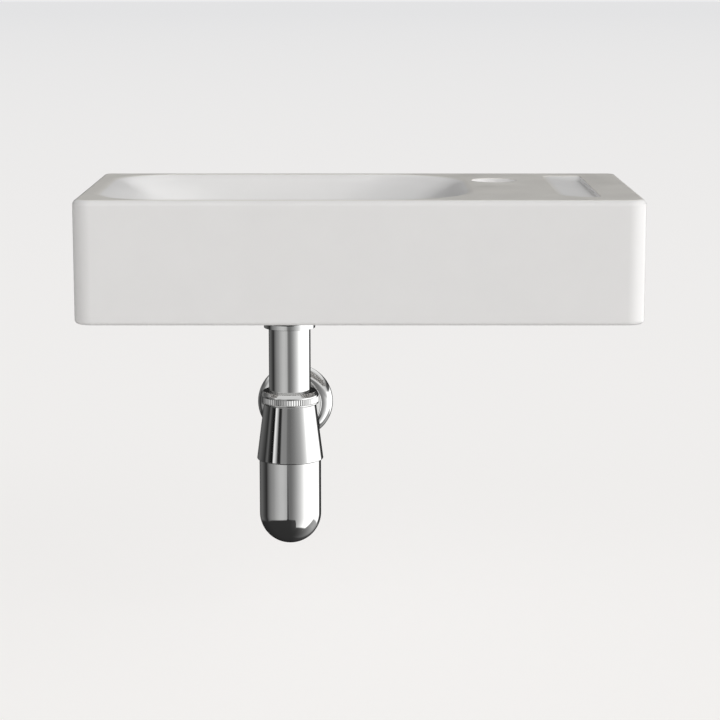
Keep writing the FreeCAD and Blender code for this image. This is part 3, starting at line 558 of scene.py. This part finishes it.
def hexNutSheet(centre, acrossFlats, bore, low, high, chamfer, level):
    middle = acrossFlats / 2
    rise = np.concatenate([np.linspace(0, 2.5, 7), [(high - low) / 2]])
    side = [(middle, low + step) for step in rise] + [(middle, high - step) for step in rise[::-1]]
    profile = np.array([(bore + 0.5, low), *side, (bore + 0.5, high), (bore, high - 0.5), (bore, low + 0.5)])
    return turned(profile, centre, level=level, segments=120, shape=hexagon(acrossFlats, low, high, chamfer))


# A hanger bolt: a wood thread with a point in the wall, and a machine thread in the room.
def hangerBolt(side):
    b = boltSizes
    rows = int((b["wallEnd"] - b["roomEnd"]) / b["pitch"] * b["rowsPerTurn"])
    height = np.linspace(b["roomEnd"] + b["chamfer"], b["wallEnd"] - b["point"], rows)
    body = np.stack([np.where(height > 0, b["wallRadius"], b["roomRadius"]), height], -1)
    head = [(0, b["roomEnd"]), (b["roomRadius"] - b["chamfer"], b["roomEnd"])]
    profile = np.concatenate([head, body, [(0, b["wallEnd"])]])
    machine = thread(b["roomEnd"], b["threadEnd"], b["pitch"], b["threadDepth"], b["threadOver"])
    wood = thread(b["woodFrom"], b["wallEnd"], b["woodPitch"], b["woodDepth"], b["threadOver"])

    def shape(radius, height, angle):
        return np.where(height > 0, wood(radius, height, angle), machine(radius, height, angle))

    return turned(profile, (side * b["x"], 0), closed=False, level=True, segments=40, shape=shape)


def fixings():
    b, w, n = bushSizes, washerSizes, nutSizes
    bush = softProfile([(b["bore"], b["from"]), (b["sleeve"], b["from"], b["edge"]), (b["sleeve"], b["face"]),
                        (b["flange"], b["face"], b["edge"]), (b["flange"], b["room"], b["edge"]),
                        (b["bore"], b["room"])])
    washer = softProfile(ringProfile(w["bore"], w["radius"], w["from"], w["to"], w["edge"]))
    nut = (n["acrossFlats"], n["bore"], n["to"], n["from"], n["chamfer"])
    centres = [(side * boltSizes["x"], 0) for side in (-1, 1)]
    settle("hanger_bolts", [hangerBolt(side) for side in (-1, 1)])
    settle("fixing_bushes", [turned(bush, centre, level=True) for centre in centres])
    settle("fixing_washers", [turned(washer, centre, level=True) for centre in centres])
    settle("fixing_nuts", [hexNutSheet(centre, *nut, level=True) for centre in centres])


fixings()
print("stage: wall fixings made")


wasteSizes = {
    "top": 8, "flange": 31, "flangeThickness": 3, "tail": 20.95, "bore": 17, "end": -22, "throat": 21,
    "throatDepth": 4, "edge": 0.7, "hubRadius": 7, "hubTop": 0, "hubBottom": -6, "hubBore": 3.3,
    "spokeWidth": 3, "spokeReach": 18.5, "spokeEdge": 0.6,
}
coverSizes = {"radius": 28, "under": 13, "thickness": 3, "rise": 3, "boss": 6, "bossEnd": 0.2, "pin": 2.5,
              "pinEnd": 9.2, "edge": 0.8, "stem": 3, "stemEnd": -14.8}
# The seal and the washer: bore, radius, low and high. The nut: across flats, bore, low, high, chamfer.
clampSizes = {"seal": (20.95, 31, 3, 5), "underWasher": (20.95, 29, -9, -6), "nut": (54, 21.1, -15.4, -9, 30)}


# The flat end of a bar: a fan of triangles about the middle of its outline.
def barEnd(loop):
    count = len(loop)
    index = np.arange(count)
    fan = np.stack([index, (index + 1) % count, np.full(count, count)], -1)
    return np.concatenate([loop, loop.mean(axis=0, keepdims=True)]), fan


# A bar of the strainer: a rounded upright outline carried straight across the bore, turned about
# the drain's axis by x cos - y sin, x sin + y cos.
def strainerBar(turn):
    w = wasteSizes
    halfWidth, low, high, edge = w["spokeWidth"] / 2, w["hubBottom"], w["hubTop"], w["spokeEdge"]
    quarter = np.linspace(0, np.pi / 2, 5)
    outline = []
    corners = ((halfWidth, low, 3), (halfWidth, high, 0), (-halfWidth, high, 1), (-halfWidth, low, 2))
    for x, z, start in corners:
        inX, inZ = math.copysign(edge, x), edge if z == high else -edge
        angle = quarter + start * np.pi / 2
        outline.append(np.stack([x - inX + edge * np.cos(angle), z - inZ + edge * np.sin(angle)], -1))
    outline = np.concatenate(outline)
    along = np.array([-w["spokeReach"], w["spokeReach"]])[:, None] + 0 * outline[None, :, 0]
    across, height = outline[None, :, 0] + 0 * along, outline[None, :, 1] + 0 * along
    grid = np.stack([drainX + across * math.cos(turn) - along * math.sin(turn),
                     drainY + across * math.sin(turn) + along * math.cos(turn), height], -1)
    return [sheet(grid), barEnd(grid[0]), barEnd(grid[1])]


def waste():
    w, c, k = wasteSizes, coverSizes, clampSizes
    under = w["top"] - w["flangeThickness"]
    body = [(w["throat"], w["top"], 1.2), (w["bore"], w["top"] - w["throatDepth"], 1.5),
            (w["bore"], w["end"], 0.4), (w["tail"], w["end"], 0.4), (w["tail"], under),
            (w["flange"], under, 0.4), (w["flange"], w["top"], w["edge"])]
    hub = softProfile(ringProfile(w["hubBore"], w["hubRadius"], w["hubTop"], w["hubBottom"], 0.6, 0.4))
    strainer = [part for turn in (0, math.pi / 2) for part in strainerBar(turn)]
    tail = turned(softProfile(body), drainAxis)
    settle("waste_body", [tail, turned(hub, drainAxis, segments=64), *strainer])

    brim = c["under"] + c["thickness"]
    dome = [(c["radius"] * (1 - t), brim + c["rise"] * (1 - (1 - t) ** 2)) for t in np.linspace(0, 1, 12)[1:]]
    cover = [(0, c["pinEnd"]), (c["pin"], c["pinEnd"]), (c["pin"], c["bossEnd"]),
             (c["boss"], c["bossEnd"], 0.5), (c["boss"], c["under"], 1.5), (c["radius"], c["under"], 0.5),
             (c["radius"], brim, c["edge"]), *dome]
    settleTurned("waste_cover", cover, "waste_cover", closed=False)
    stem = [(0, c["stemEnd"]), (c["stem"], c["stemEnd"], 0.8), (c["stem"], c["bossEnd"], 0.2),
            (c["pin"], c["bossEnd"]), (c["pin"], c["pinEnd"], 0.3), (0, c["pinEnd"])]
    settleTurned("cover_stem", stem, "waste_cover", closed=False, segments=48)

    settleTurned("waste_seal", ringProfile(*k["seal"], 0.6, 0.3))
    settleTurned("under_washer", ringProfile(*k["underWasher"], 0.6, 0.3))
    settle("waste_backnut", [hexNutSheet(drainAxis, *k["nut"], level=False)])


waste()
print("stage: waste made")


inletSizes = {
    "tube": 16, "tubeBore": 14.6, "dipEnd": -180, "lipTop": -26.4, "collarTop": -24.4, "collar": 20.2,
    "edge": 0.3, "guide": 16.4, "nutBottom": -34.6, "nutTop": -16, "lip": 19.6, "lipHeight": 4.2,
    "lipEdge": 0.25, "nut": 25, "nutEdge": 1, "nutBore": 21.5, "sealTop": -22,
}
ringNutSizes = {
    "top": -83.6, "topRadius": 20.6, "coneHeight": 3, "bottom": -93.3, "radius": 22, "edge": 0.5,
    "guide": 16.4, "bore": 20.1, "lip": 1.8, "bandMargin": 1.3, "ribs": 72, "ribDepth": 0.42, "bandDip": 0.25,
}
trapSealSizes = {"slip": (16.4, 19.7, -86.4, -85.4), "tipLevel": -92.4, "neckTop": -87.6, "sealTop": -86.4,
                 "coneTop": 18.6, "coneBottom": 17, "neck": 19.7}


# Ribs round a band: the radius falls by depth * (1 - |cos(ribs * a / 2)|)^0.7, only inside the band.
def ribs(low, high, count, depth, radiusOver):
    def shape(radius, height, angle):
        groove = (1 - np.abs(np.cos(count * angle / 2))) ** 0.7
        inBand = (height > low) & (height < high) & (radius > radiusOver)
        return np.where(inBand, radius - depth * groove, radius + 0 * angle)

    return shape


def ringNut():
    n = ringNutSizes
    bandTop, bandLow = n["top"] - n["coneHeight"] - n["bandMargin"], n["bottom"] + n["bandMargin"]
    lipLow, dip = n["top"] - n["lip"], n["radius"] - n["bandDip"]
    band = [(n["radius"], level) for level in np.linspace(bandTop - 0.02, bandLow + 0.02, 6)]
    profile = [(n["guide"], n["top"], 0.4), (n["topRadius"], n["top"], n["edge"]),
               (n["radius"], n["top"] - n["coneHeight"], 0.6), (n["radius"], bandTop + 0.25, 0.2),
               (dip, bandTop + 0.02), *band, (dip, bandLow - 0.02), (n["radius"], bandLow - 0.25, 0.2),
               (n["radius"], n["bottom"], n["edge"]), (n["bore"], n["bottom"], 0.3), (n["bore"], lipLow),
               (n["guide"], lipLow)]
    ribbed = ribs(bandLow, bandTop, n["ribs"], n["ribDepth"], n["radius"] - 0.1)
    settleTurned("ring_nut", profile, "ring_nut", segments=n["ribs"] * 8, shape=ribbed)


def inlet():
    i, t = inletSizes, trapSealSizes
    tube = [(i["tubeBore"], i["dipEnd"], 0.4), (i["tube"], i["dipEnd"], 0.4), (i["tube"], i["lipTop"], 0.5),
            (i["collar"], i["lipTop"], i["edge"]), (i["collar"], i["collarTop"], i["edge"]),
            (i["tubeBore"], i["collarTop"])]
    settleTurned("inlet_tube", tube)
    lipEnd = i["nutBottom"] + i["lipHeight"]
    nut = [(i["guide"], i["nutBottom"], 0.3), (i["lip"], i["nutBottom"], i["lipEdge"]),
           (i["lip"], lipEnd, 0.8), (i["nut"], lipEnd + i["nut"] - i["lip"], i["nutEdge"]),
           (i["nut"], i["nutTop"], i["nutEdge"]), (i["nutBore"], i["nutTop"], 0.4),
           (i["nutBore"], i["lipTop"]), (i["guide"], i["lipTop"])]
    settleTurned("inlet_nut", nut, "inlet_nut")
    settleTurned("inlet_seal", ringProfile(i["tubeBore"], i["collar"], i["collarTop"], i["sealTop"]))
    settleTurned("slip_ring", ringProfile(*t["slip"], 0.1))
    wedge = [(i["tube"], t["tipLevel"]), (t["coneBottom"], t["tipLevel"]), (t["coneTop"], t["neckTop"]),
             (t["neck"], t["neckTop"]), (t["neck"], t["sealTop"]), (i["tube"], t["sealTop"])]
    settleTurned("tube_seal", wedge)


inlet()
ringNut()
print("stage: inlet tube and its nuts made")


trapSizes = {
    "neck": 19.7, "neckTop": -87.6, "coneTop": -94, "coneTopRadius": 20.1, "coneLow": -136.3,
    "coneLowRadius": 25.5, "skirt": 25.2, "skirtLow": -136.8, "skirtBore": 23.75, "seat": -132.4,
    "innerLow": 21.4, "innerTop": 18, "roof": -94.4, "guide": 16.4, "sealBottom": 17, "sealTip": -92.4,
    "sealTop": 18.6, "threadPitch": 1.6, "threadDepth": 0.45, "threadFrom": -118, "edge": 0.15,
    "inWall": 1.5, "cupClear": 24.2, "spigot": 18.6, "spigotBore": 11.5, "spigotEnd": -108.5,
}
cupSizes = {
    "radius": 23.75, "neck": 23.35, "neckLow": -137.2, "rim": -133.4, "wall": 1.5, "centre": -179.6,
    "threadPitch": 1.6, "threadDepth": 0.35, "sealInner": 21.4, "sealThickness": 1,
}


# The outlet stub is turned about its level axis. Its inner end follows the trap's cone: it lies at
# sqrt(R^2 - x^2) from the drain's axis, where R is inside the cone's wall at each height, and
# outside the cup below the cone.
def outletStub():
    t = trapSizes
    radius, bore, end = t["spigot"], t["spigotBore"], t["spigotEnd"]
    rows = [(radius, y) for y in np.linspace(t["threadFrom"], end - 0.6, 40)]
    profile = [(bore, drainY), (radius - 0.01, drainY), *rows, (radius - 0.6, end), (bore, end, 0.4)]
    spigotThread = thread(t["threadFrom"], end, t["threadPitch"], t["threadDepth"], radius - 0.02)
    points, faces = turned(softProfile(profile), outletAxis, level=True, shape=spigotThread)
    share = (t["coneTop"] - points[:, 2]) / (t["coneTop"] - t["coneLow"])
    cone = t["coneTopRadius"] + (t["coneLowRadius"] - t["coneTopRadius"]) * share - t["inWall"]
    reach = np.where(points[:, 2] > t["skirtLow"], cone, t["cupClear"])
    inside = np.abs(points[:, 1] - drainY) < 0.01
    points[inside, 1] = drainY + np.sqrt(reach[inside] ** 2 - (points[inside, 0] - drainX) ** 2)
    return points, faces


def trapBody():
    t = trapSizes
    outer = [(t["skirtBore"], t["skirtLow"], 0.1), (t["skirt"], t["skirtLow"], t["edge"]),
             (t["coneLowRadius"], t["coneLow"], t["edge"]), (t["coneTopRadius"], t["coneTop"], 0.3),
             (t["neck"], t["coneTop"])]
    neckRows = [(t["neck"], level) for level in np.linspace(t["coneTop"] + 0.2, t["neckTop"] - 0.3, 16)]
    inner = [(t["neck"] - 0.3, t["neckTop"]), (t["sealTop"], t["neckTop"]), (t["sealBottom"], t["sealTip"]),
             (t["guide"], t["sealTip"]), (t["guide"], t["roof"]), (t["innerTop"], t["roof"]),
             (t["innerLow"], t["seat"]), (t["skirtBore"], t["seat"])]
    neckThread = thread(t["coneTop"], t["neckTop"], t["threadPitch"], t["threadDepth"], t["neck"] - 0.01)

    def neckShape(radius, height, angle):
        onNeck = (height > t["coneTop"]) & (height < t["neckTop"])
        return np.where(onNeck, neckThread(radius, height, angle), radius)

    cone = turned(softProfile(outer + neckRows + inner), drainAxis, segments=128, shape=neckShape)
    settle("trap_body", [cone, outletStub()])


def trapCup():
    c = cupSizes
    settleTurned("cup_seal", ringProfile(c["sealInner"], c["neck"], c["rim"], c["rim"] + c["sealThickness"]))
    inside, neckInner = c["radius"] - c["wall"], c["neck"] - c["wall"]
    rows = [(c["neck"], level) for level in np.linspace(c["neckLow"] + 0.1, c["rim"] - 0.3, 24)]
    profile = [*profileArc(c["centre"], c["radius"], -90, 0), (c["radius"], c["neckLow"], 0.2),
               (c["neck"], c["neckLow"]), *rows, (c["neck"] - 0.3, c["rim"]), (neckInner, c["rim"]),
               (neckInner, c["neckLow"]), (inside, c["neckLow"] - c["wall"]),
               *profileArc(c["centre"], inside, 0, -90)]
    cupThread = thread(c["neckLow"], c["rim"], c["threadPitch"], c["threadDepth"], c["neck"] - 0.01)

    def cupShape(radius, height, angle):
        return np.where(height > c["neckLow"], cupThread(radius, height, angle), radius)

    settleTurned("trap_cup", profile, "trap_cup", closed=False, segments=128, shape=cupShape)


trapBody()
trapCup()
print("stage: trap made")


outletSizes = {
    "tube": 16, "bore": 14.6, "sealFrom": -108.5, "collarFrom": -106.5, "lipFrom": -104.5, "collar": 18.2,
    "end": 45, "nutFrom": -117.5, "nutEnd": -101.5, "nut": 22, "nutBore": 19, "guide": 16.4, "edge": 1.2,
    "sealBore": 11.5,
}
rosetteSizes = {
    "radius": 31.2, "rim": -1.2, "collar": 22, "domeHeight": -8.5, "domeBulge": 2.2, "height": -12,
    "edge": 1, "guide": 16.4, "wall": 1.2, "ringOuter": 18.2, "ringInner": 16.05, "ringLength": 4,
}


# A bulged line between two profile points: start + t * (end - start) + 4 t (1 - t) * bulge sideways.
def bulged(start, end, bulge, steps=14):
    start, end = np.array(start, float), np.array(end, float)
    t = np.linspace(0, 1, steps)[:, None]
    side = np.array([end[1] - start[1], start[0] - end[0]]) / np.linalg.norm(end - start)
    return [tuple(point) for point in start + t * (end - start) + 4 * t * (1 - t) * bulge * side]


def outlet():
    o = outletSizes
    seal = ringProfile(o["sealBore"], o["collar"], o["sealFrom"], o["collarFrom"])
    settleTurned("outlet_seal", seal, level=True)
    tube = [(o["bore"], o["collarFrom"]), (o["collar"], o["collarFrom"], 0.3),
            (o["collar"], o["lipFrom"], 0.3), (o["tube"], o["lipFrom"], 0.4), (o["tube"], o["end"], 0.4),
            (o["bore"], o["end"], 0.4)]
    settleTurned("outlet_tube", tube, level=True)
    nut = [(o["nutBore"], o["nutFrom"], 0.3), (o["nut"], o["nutFrom"], 0.6),
           (o["nut"], o["nutEnd"], o["edge"]), (o["guide"], o["nutEnd"], 0.4), (o["guide"], o["lipFrom"]),
           (o["nutBore"], o["lipFrom"])]
    settleTurned("outlet_nut", nut, "outlet_nut", level=True)


def rosette():
    r = rosetteSizes
    ringStart = r["height"] + r["wall"]
    ringEnd = ringStart + r["ringLength"]
    outer = bulged((r["radius"], r["rim"]), (r["collar"], r["domeHeight"]), -r["domeBulge"])
    neck = r["collar"] - r["wall"]
    inner = bulged((neck, r["domeHeight"] + r["wall"]), (r["radius"] - r["wall"], 0), r["domeBulge"])
    dish = [(r["radius"], 0, 0.2), *outer, (r["collar"], r["height"], r["edge"]),
            (r["guide"], r["height"], 0.4), (r["guide"], ringStart), (r["ringOuter"], ringStart),
            (r["ringOuter"], ringEnd), (neck, ringEnd), *inner]
    settleTurned("wall_rosette", dish, "wall_rosette", level=True, segments=160)
    grip = ringProfile(r["ringInner"], r["ringOuter"], ringStart, ringEnd)
    settleTurned("rosette_ring", grip, "wall_rosette", level=True)


outlet()
rosette()
print("stage: outlet and rosette made")


cameraSizes = {"place": (0.00035, -1.8501, 0.2381), "down": 9.93, "lens": 112.82, "sensor": 36.0}


def makeCamera():
    data = bpy.data.cameras.new("camera")
    data.sensor_width, data.lens = cameraSizes["sensor"], cameraSizes["lens"]
    data.clip_start, data.clip_end = 0.05, 100
    camera = bpy.data.objects.new("camera", data)
    camera.location = cameraSizes["place"]
    camera.rotation_euler = (math.radians(90 - cameraSizes["down"]), 0, 0)
    bpy.context.scene.collection.objects.link(camera)
    bpy.context.scene.camera = camera


# What the chrome reflects: the studio's light by bearing, in degrees from the camera's side, positive
# to the right. The low walls show in the upright tube and cup, the high, upper and top walls in what
# leans back, each blended into the next between two heights. A height is the sine of an angle above
# the horizon. Under the heights of groundFrom, with their sign turned, lies the dark studio floor.
studioSizes = {
    "centre": (-0.0535, -0.1465, -0.1), "radius": 8.0, "top": 2.0, "lowTo": -0.11, "highFrom": -0.04,
    "upperFrom": 0.10, "upperTo": 0.17, "topFrom": 0.32, "topTo": 0.5,
    "groundEdge": 0.03, "nadir": 0.045, "nadirFrom": -1.0, "nadirTo": -0.62, "rings": 33, "segments": 64,
    "lowWalls": [
        (-180, 0.02), (-150, 0.13), (-138, 0.18), (-127, 0.16), (-112, 0.087), (-105, 0.056), (-99, 0.035),
        (-93, 0.117), (-87, 0.207), (-82, 0.27), (-72, 0.373), (-63, 0.44), (-54, 0.578), (-45, 0.677),
        (-37, 0.765), (-26, 0.78), (-13, 0.67), (-8.5, 0.35), (-4, 0.235), (1, 0.225), (7, 0.27),
        (15, 0.385), (23, 0.546), (31, 0.756), (39, 0.99), (47, 1.31), (53, 1.6), (58, 1.95), (133, 1.95),
        (138, 0.5), (143, 0.05), (180, 0.02),
    ],
    "highWalls": [
        (-180, 0.03), (-150, 0.2), (-134, 0.235), (-98, 0.035), (-87, 0.19), (-79, 0.05), (-70, 0.012),
        (-63, 0.012), (-59, 1.4), (-50, 0.7), (-44, 0.03), (-35, 0.03), (-30, 0.38), (-13, 0.35),
        (-8, 0.21), (2, 0.2), (16, 0.3), (33, 0.5), (40, 0.6), (48, 0.8), (56, 1.08), (60, 1.3), (66, 1.9),
        (130, 1.9), (137, 0.4), (143, 0.05), (180, 0.03),
    ],
    "upperWalls": [
        (-180, 0.02), (-120, 0.15), (-80, 0.3), (-60, 0.9), (60, 1.0), (78, 0.8), (92, 0.17), (145, 0.03),
        (180, 0.02),
    ],
    "topWalls": [
        (-180, 1.3), (-120, 1.1), (-90, 0.6), (-60, 0.9), (60, 1.0), (78, 0.8), (100, 0.9), (150, 1.3),
        (180, 1.3),
    ],
    "groundFrom": [
        (-180, 0.3), (-120, 0.4), (-97, 0.44), (-76, 0.38), (-28, 0.33), (-13, 0.31), (-8, 0.2), (-3, 0.3),
        (20, 0.33), (27, 0.74), (78, 0.74), (92, 0.5), (100, 0.36), (138, 0.47), (150, 0.4), (180, 0.3),
    ],
    "ground": [
        (-180, 0.02), (-90, 0.045), (0, 0.05), (40, 0.12), (80, 0.4), (120, 0.6), (140, 0.5), (155, 0.1),
        (180, 0.02),
    ],
}

# The soft light that reaches the pale ceramic and the floor, by bearing and by height, from
# straight down (-1) to straight up (1).
fillSizes = {
    "strength": 1.02,
    "byBearing": [
        (-180, 0.12), (-130, 0.2), (-100, 0.33), (-80, 0.4), (-60, 0.55), (-35, 0.75), (-15, 0.7), (0, 0.5),
        (15, 0.6), (25, 0.85), (37, 1.35), (46, 2.0), (74, 2.0), (86, 1.5), (110, 1.35), (125, 0.7),
        (180, 0.12),
    ],
    "byHeight": [
        (-1, 0.085), (-0.42, 0.085), (-0.3, 0.55), (0.1, 0.65), (0.28, 1.5), (0.4, 1.95), (0.6, 1.75),
        (0.7, 0.2), (1, 0.1),
    ],
}

# The floor lies a little below the trap's cup at the end of its travel. Its colour goes from near to
# far with the square root of the way between two places along Y: painted shade, darker far away.
floorSizes = {
    "level": -0.2655, "reach": 30, "front": -4, "near": "fcfaf8", "far": "ececed", "nearAt": -0.5,
    "farAt": 22.0, "shown": 0.8,
}


# The stops of a colour ramp for (place, light) pairs, with the places spread over 0 to 1. A ramp's
# colours stop at 1, so every light is divided by the brightest, and the shader's strength gives it back.
def rampStops(table, span):
    return {"stops": [((place + span) / (2 * span), light / studioSizes["top"]) for place, light in table]}


# The bearing of a direction, from 0 at -180 degrees to 1 at 180, is atan2(x, -y).
def bearingOf(tree, direction):
    parts = addNode(tree, "SeparateXYZ", None, {"Vector": direction})
    away = addNode(tree, "Math", {"operation": "MULTIPLY", 1: -1.0}, {0: parts.outputs["Y"]})
    angle = addNode(tree, "Math", {"operation": "ARCTAN2"}, {0: parts.outputs["X"], 1: away})
    bearing = addNode(tree, "MapRange", {"From Min": -math.pi, "From Max": math.pi}, {0: angle})
    return bearing, parts.outputs["Z"]


# The share of the pale background that camera, glossy and transmission rays see.
def seenDirectly(tree, share=1.0):
    rays = addNode(tree, "LightPath")
    total = rays.outputs["Is Camera Ray"]
    for kind in ("Is Glossy Ray", "Is Transmission Ray"):
        total = addNode(tree, "Math", {"operation": "MAXIMUM"}, {0: total, 1: rays.outputs[kind]})
    return addNode(tree, "Math", {"operation": "MULTIPLY", 1: share}, {0: total})


def makeWorld():
    world = bpy.data.worlds.new("studio")
    bpy.context.scene.world = world
    tree = emptyTree(world)
    direction = addNode(tree, "TexCoord").outputs["Generated"]
    bearing, height = bearingOf(tree, direction)
    raised = addNode(tree, "MapRange", {"From Min": -1.0, "From Max": 1.0}, {0: height})
    around = addNode(tree, "ValToRGB", rampStops(fillSizes["byBearing"], 180), {"Fac": bearing})
    upward = addNode(tree, "ValToRGB", rampStops(fillSizes["byHeight"], 1), {"Fac": raised})
    light = addNode(tree, "Mix", {"data_type": "RGBA", "blend_type": "MULTIPLY", 0: 1.0},
                    {6: around, 7: upward})
    strength = fillSizes["strength"] * studioSizes["top"] ** 2
    fill = addNode(tree, "Background", {"Strength": strength}, {"Color": light.outputs[2]})
    pale = addNode(tree, "Background", {"Color": linear(floorSizes["far"]), "Strength": 1.0})
    chosen = addNode(tree, "MixShader", None, {0: seenDirectly(tree), 1: fill, 2: pale})
    addNode(tree, "OutputWorld", None, {"Surface": chosen})


def stageMesh(name, points, faces, material):
    mesh = bpy.data.meshes.new(name)
    mesh.from_pydata(points, [], faces)
    mesh.materials.append(material)
    made = bpy.data.objects.new(name, mesh)
    bpy.context.scene.collection.objects.link(made)
    return made


# The studio's soft boxes and dark flags stand on a wide sphere, which only reflections see. Its
# points are centre + radius * (cos lat cos a, cos lat sin a, sin lat).
def makeStudio():
    s = studioSizes
    latitude = np.linspace(-np.pi / 2, np.pi / 2, s["rings"])[:, None]
    around = np.linspace(0, 2 * np.pi, s["segments"], endpoint=False)[None, :]
    ball = np.stack([np.cos(latitude) * np.cos(around), np.cos(latitude) * np.sin(around),
                     np.sin(latitude) + 0 * around], axis=-1)
    points, faces = sheet(np.array(s["centre"]) + s["radius"] * ball)
    material = bpy.data.materials.new("softBoxesAndFlags")
    tree = emptyTree(material)
    place = addNode(tree, "TexCoord").outputs["Object"]
    offset = addNode(tree, "VectorMath", {"operation": "SUBTRACT", 1: s["centre"]}, {0: place})
    direction = addNode(tree, "VectorMath", {"operation": "NORMALIZE"}, {0: offset})
    bearing, height = bearingOf(tree, direction)
    names = ("lowWalls", "highWalls", "upperWalls", "topWalls", "groundFrom", "ground")
    low, high, upper, overhead, edge, ground = (
        addNode(tree, "ValToRGB", rampStops(s[name], 180), {"Fac": bearing}) for name in names)

    def blend(start, end, first, second):
        share = addNode(tree, "MapRange", {"From Min": start, "From Max": end}, {0: height})
        links = {0: share, 7: second}
        settings = {"data_type": "RGBA"}
        if isinstance(first, tuple):
            settings[6] = first
        else:
            links[6] = first
        return addNode(tree, "Mix", settings, links).outputs[2]

    walled = blend(s["upperFrom"], s["upperTo"], blend(s["lowTo"], s["highFrom"], low, high), upper)
    walled = blend(s["topFrom"], s["topTo"], walled, overhead)
    dark = s["nadir"] / s["top"]
    ground = blend(s["nadirFrom"], s["nadirTo"], (dark, dark, dark, 1), ground)
    above = addNode(tree, "Math", {"operation": "MULTIPLY_ADD", 1: s["top"]}, {0: edge, 2: height})
    soft = {"From Min": -s["groundEdge"], "From Max": s["groundEdge"]}
    grounded = addNode(tree, "MapRange", soft, {0: above})
    light = addNode(tree, "Mix", {"data_type": "RGBA"}, {0: grounded, 6: ground, 7: walled})
    glow = addNode(tree, "Emission", {"Strength": s["top"]}, {"Color": light.outputs[2]})
    addNode(tree, "OutputMaterial", None, {"Surface": glow})
    material.cycles.emission_sampling = "NONE"
    walls = stageMesh("studioWalls", points.tolist(), faces.tolist(), material)
    walls.visible_camera = walls.visible_diffuse = walls.visible_transmission = False
    walls.visible_shadow = walls.visible_volume_scatter = False


def makeFloor():
    f = floorSizes
    reach, front, level = f["reach"], f["front"], f["level"]
    corners = [(-reach, front, level), (reach, front, level), (reach, reach, level), (-reach, reach, level)]
    material = bpy.data.materials.new("paleFloor")
    tree = emptyTree(material)
    place = addNode(tree, "TexCoord").outputs["Object"]
    parts = addNode(tree, "SeparateXYZ", None, {"Vector": place})
    # painted shade: the floor's colour darkens from near to far
    distance = addNode(tree, "MapRange", {"From Min": f["nearAt"], "From Max": f["farAt"]},
                       {0: parts.outputs["Y"]})
    eased = addNode(tree, "Math", {"operation": "POWER", 1: 0.5}, {0: distance})
    colour = addNode(tree, "Mix", {"data_type": "RGBA", 6: linear(f["near"]), 7: linear(f["far"])},
                     {0: eased}).outputs[2]
    lit = addNode(tree, "BsdfDiffuse", None, {"Color": colour})
    shown = addNode(tree, "Emission", {"Strength": 1.0}, {"Color": colour})
    mixed = addNode(tree, "MixShader", None, {0: seenDirectly(tree, f["shown"]), 1: lit, 2: shown})
    addNode(tree, "OutputMaterial", None, {"Surface": mixed})
    floor = stageMesh("floor", corners, [(0, 1, 2, 3)], material)
    floor.visible_glossy = False  # the studio's own floor is on its walls' sphere


makeCamera()
makeWorld()
makeStudio()
makeFloor()
print("stage: camera, light and floor made")

bpy.context.scene.view_settings.view_transform = "Standard"
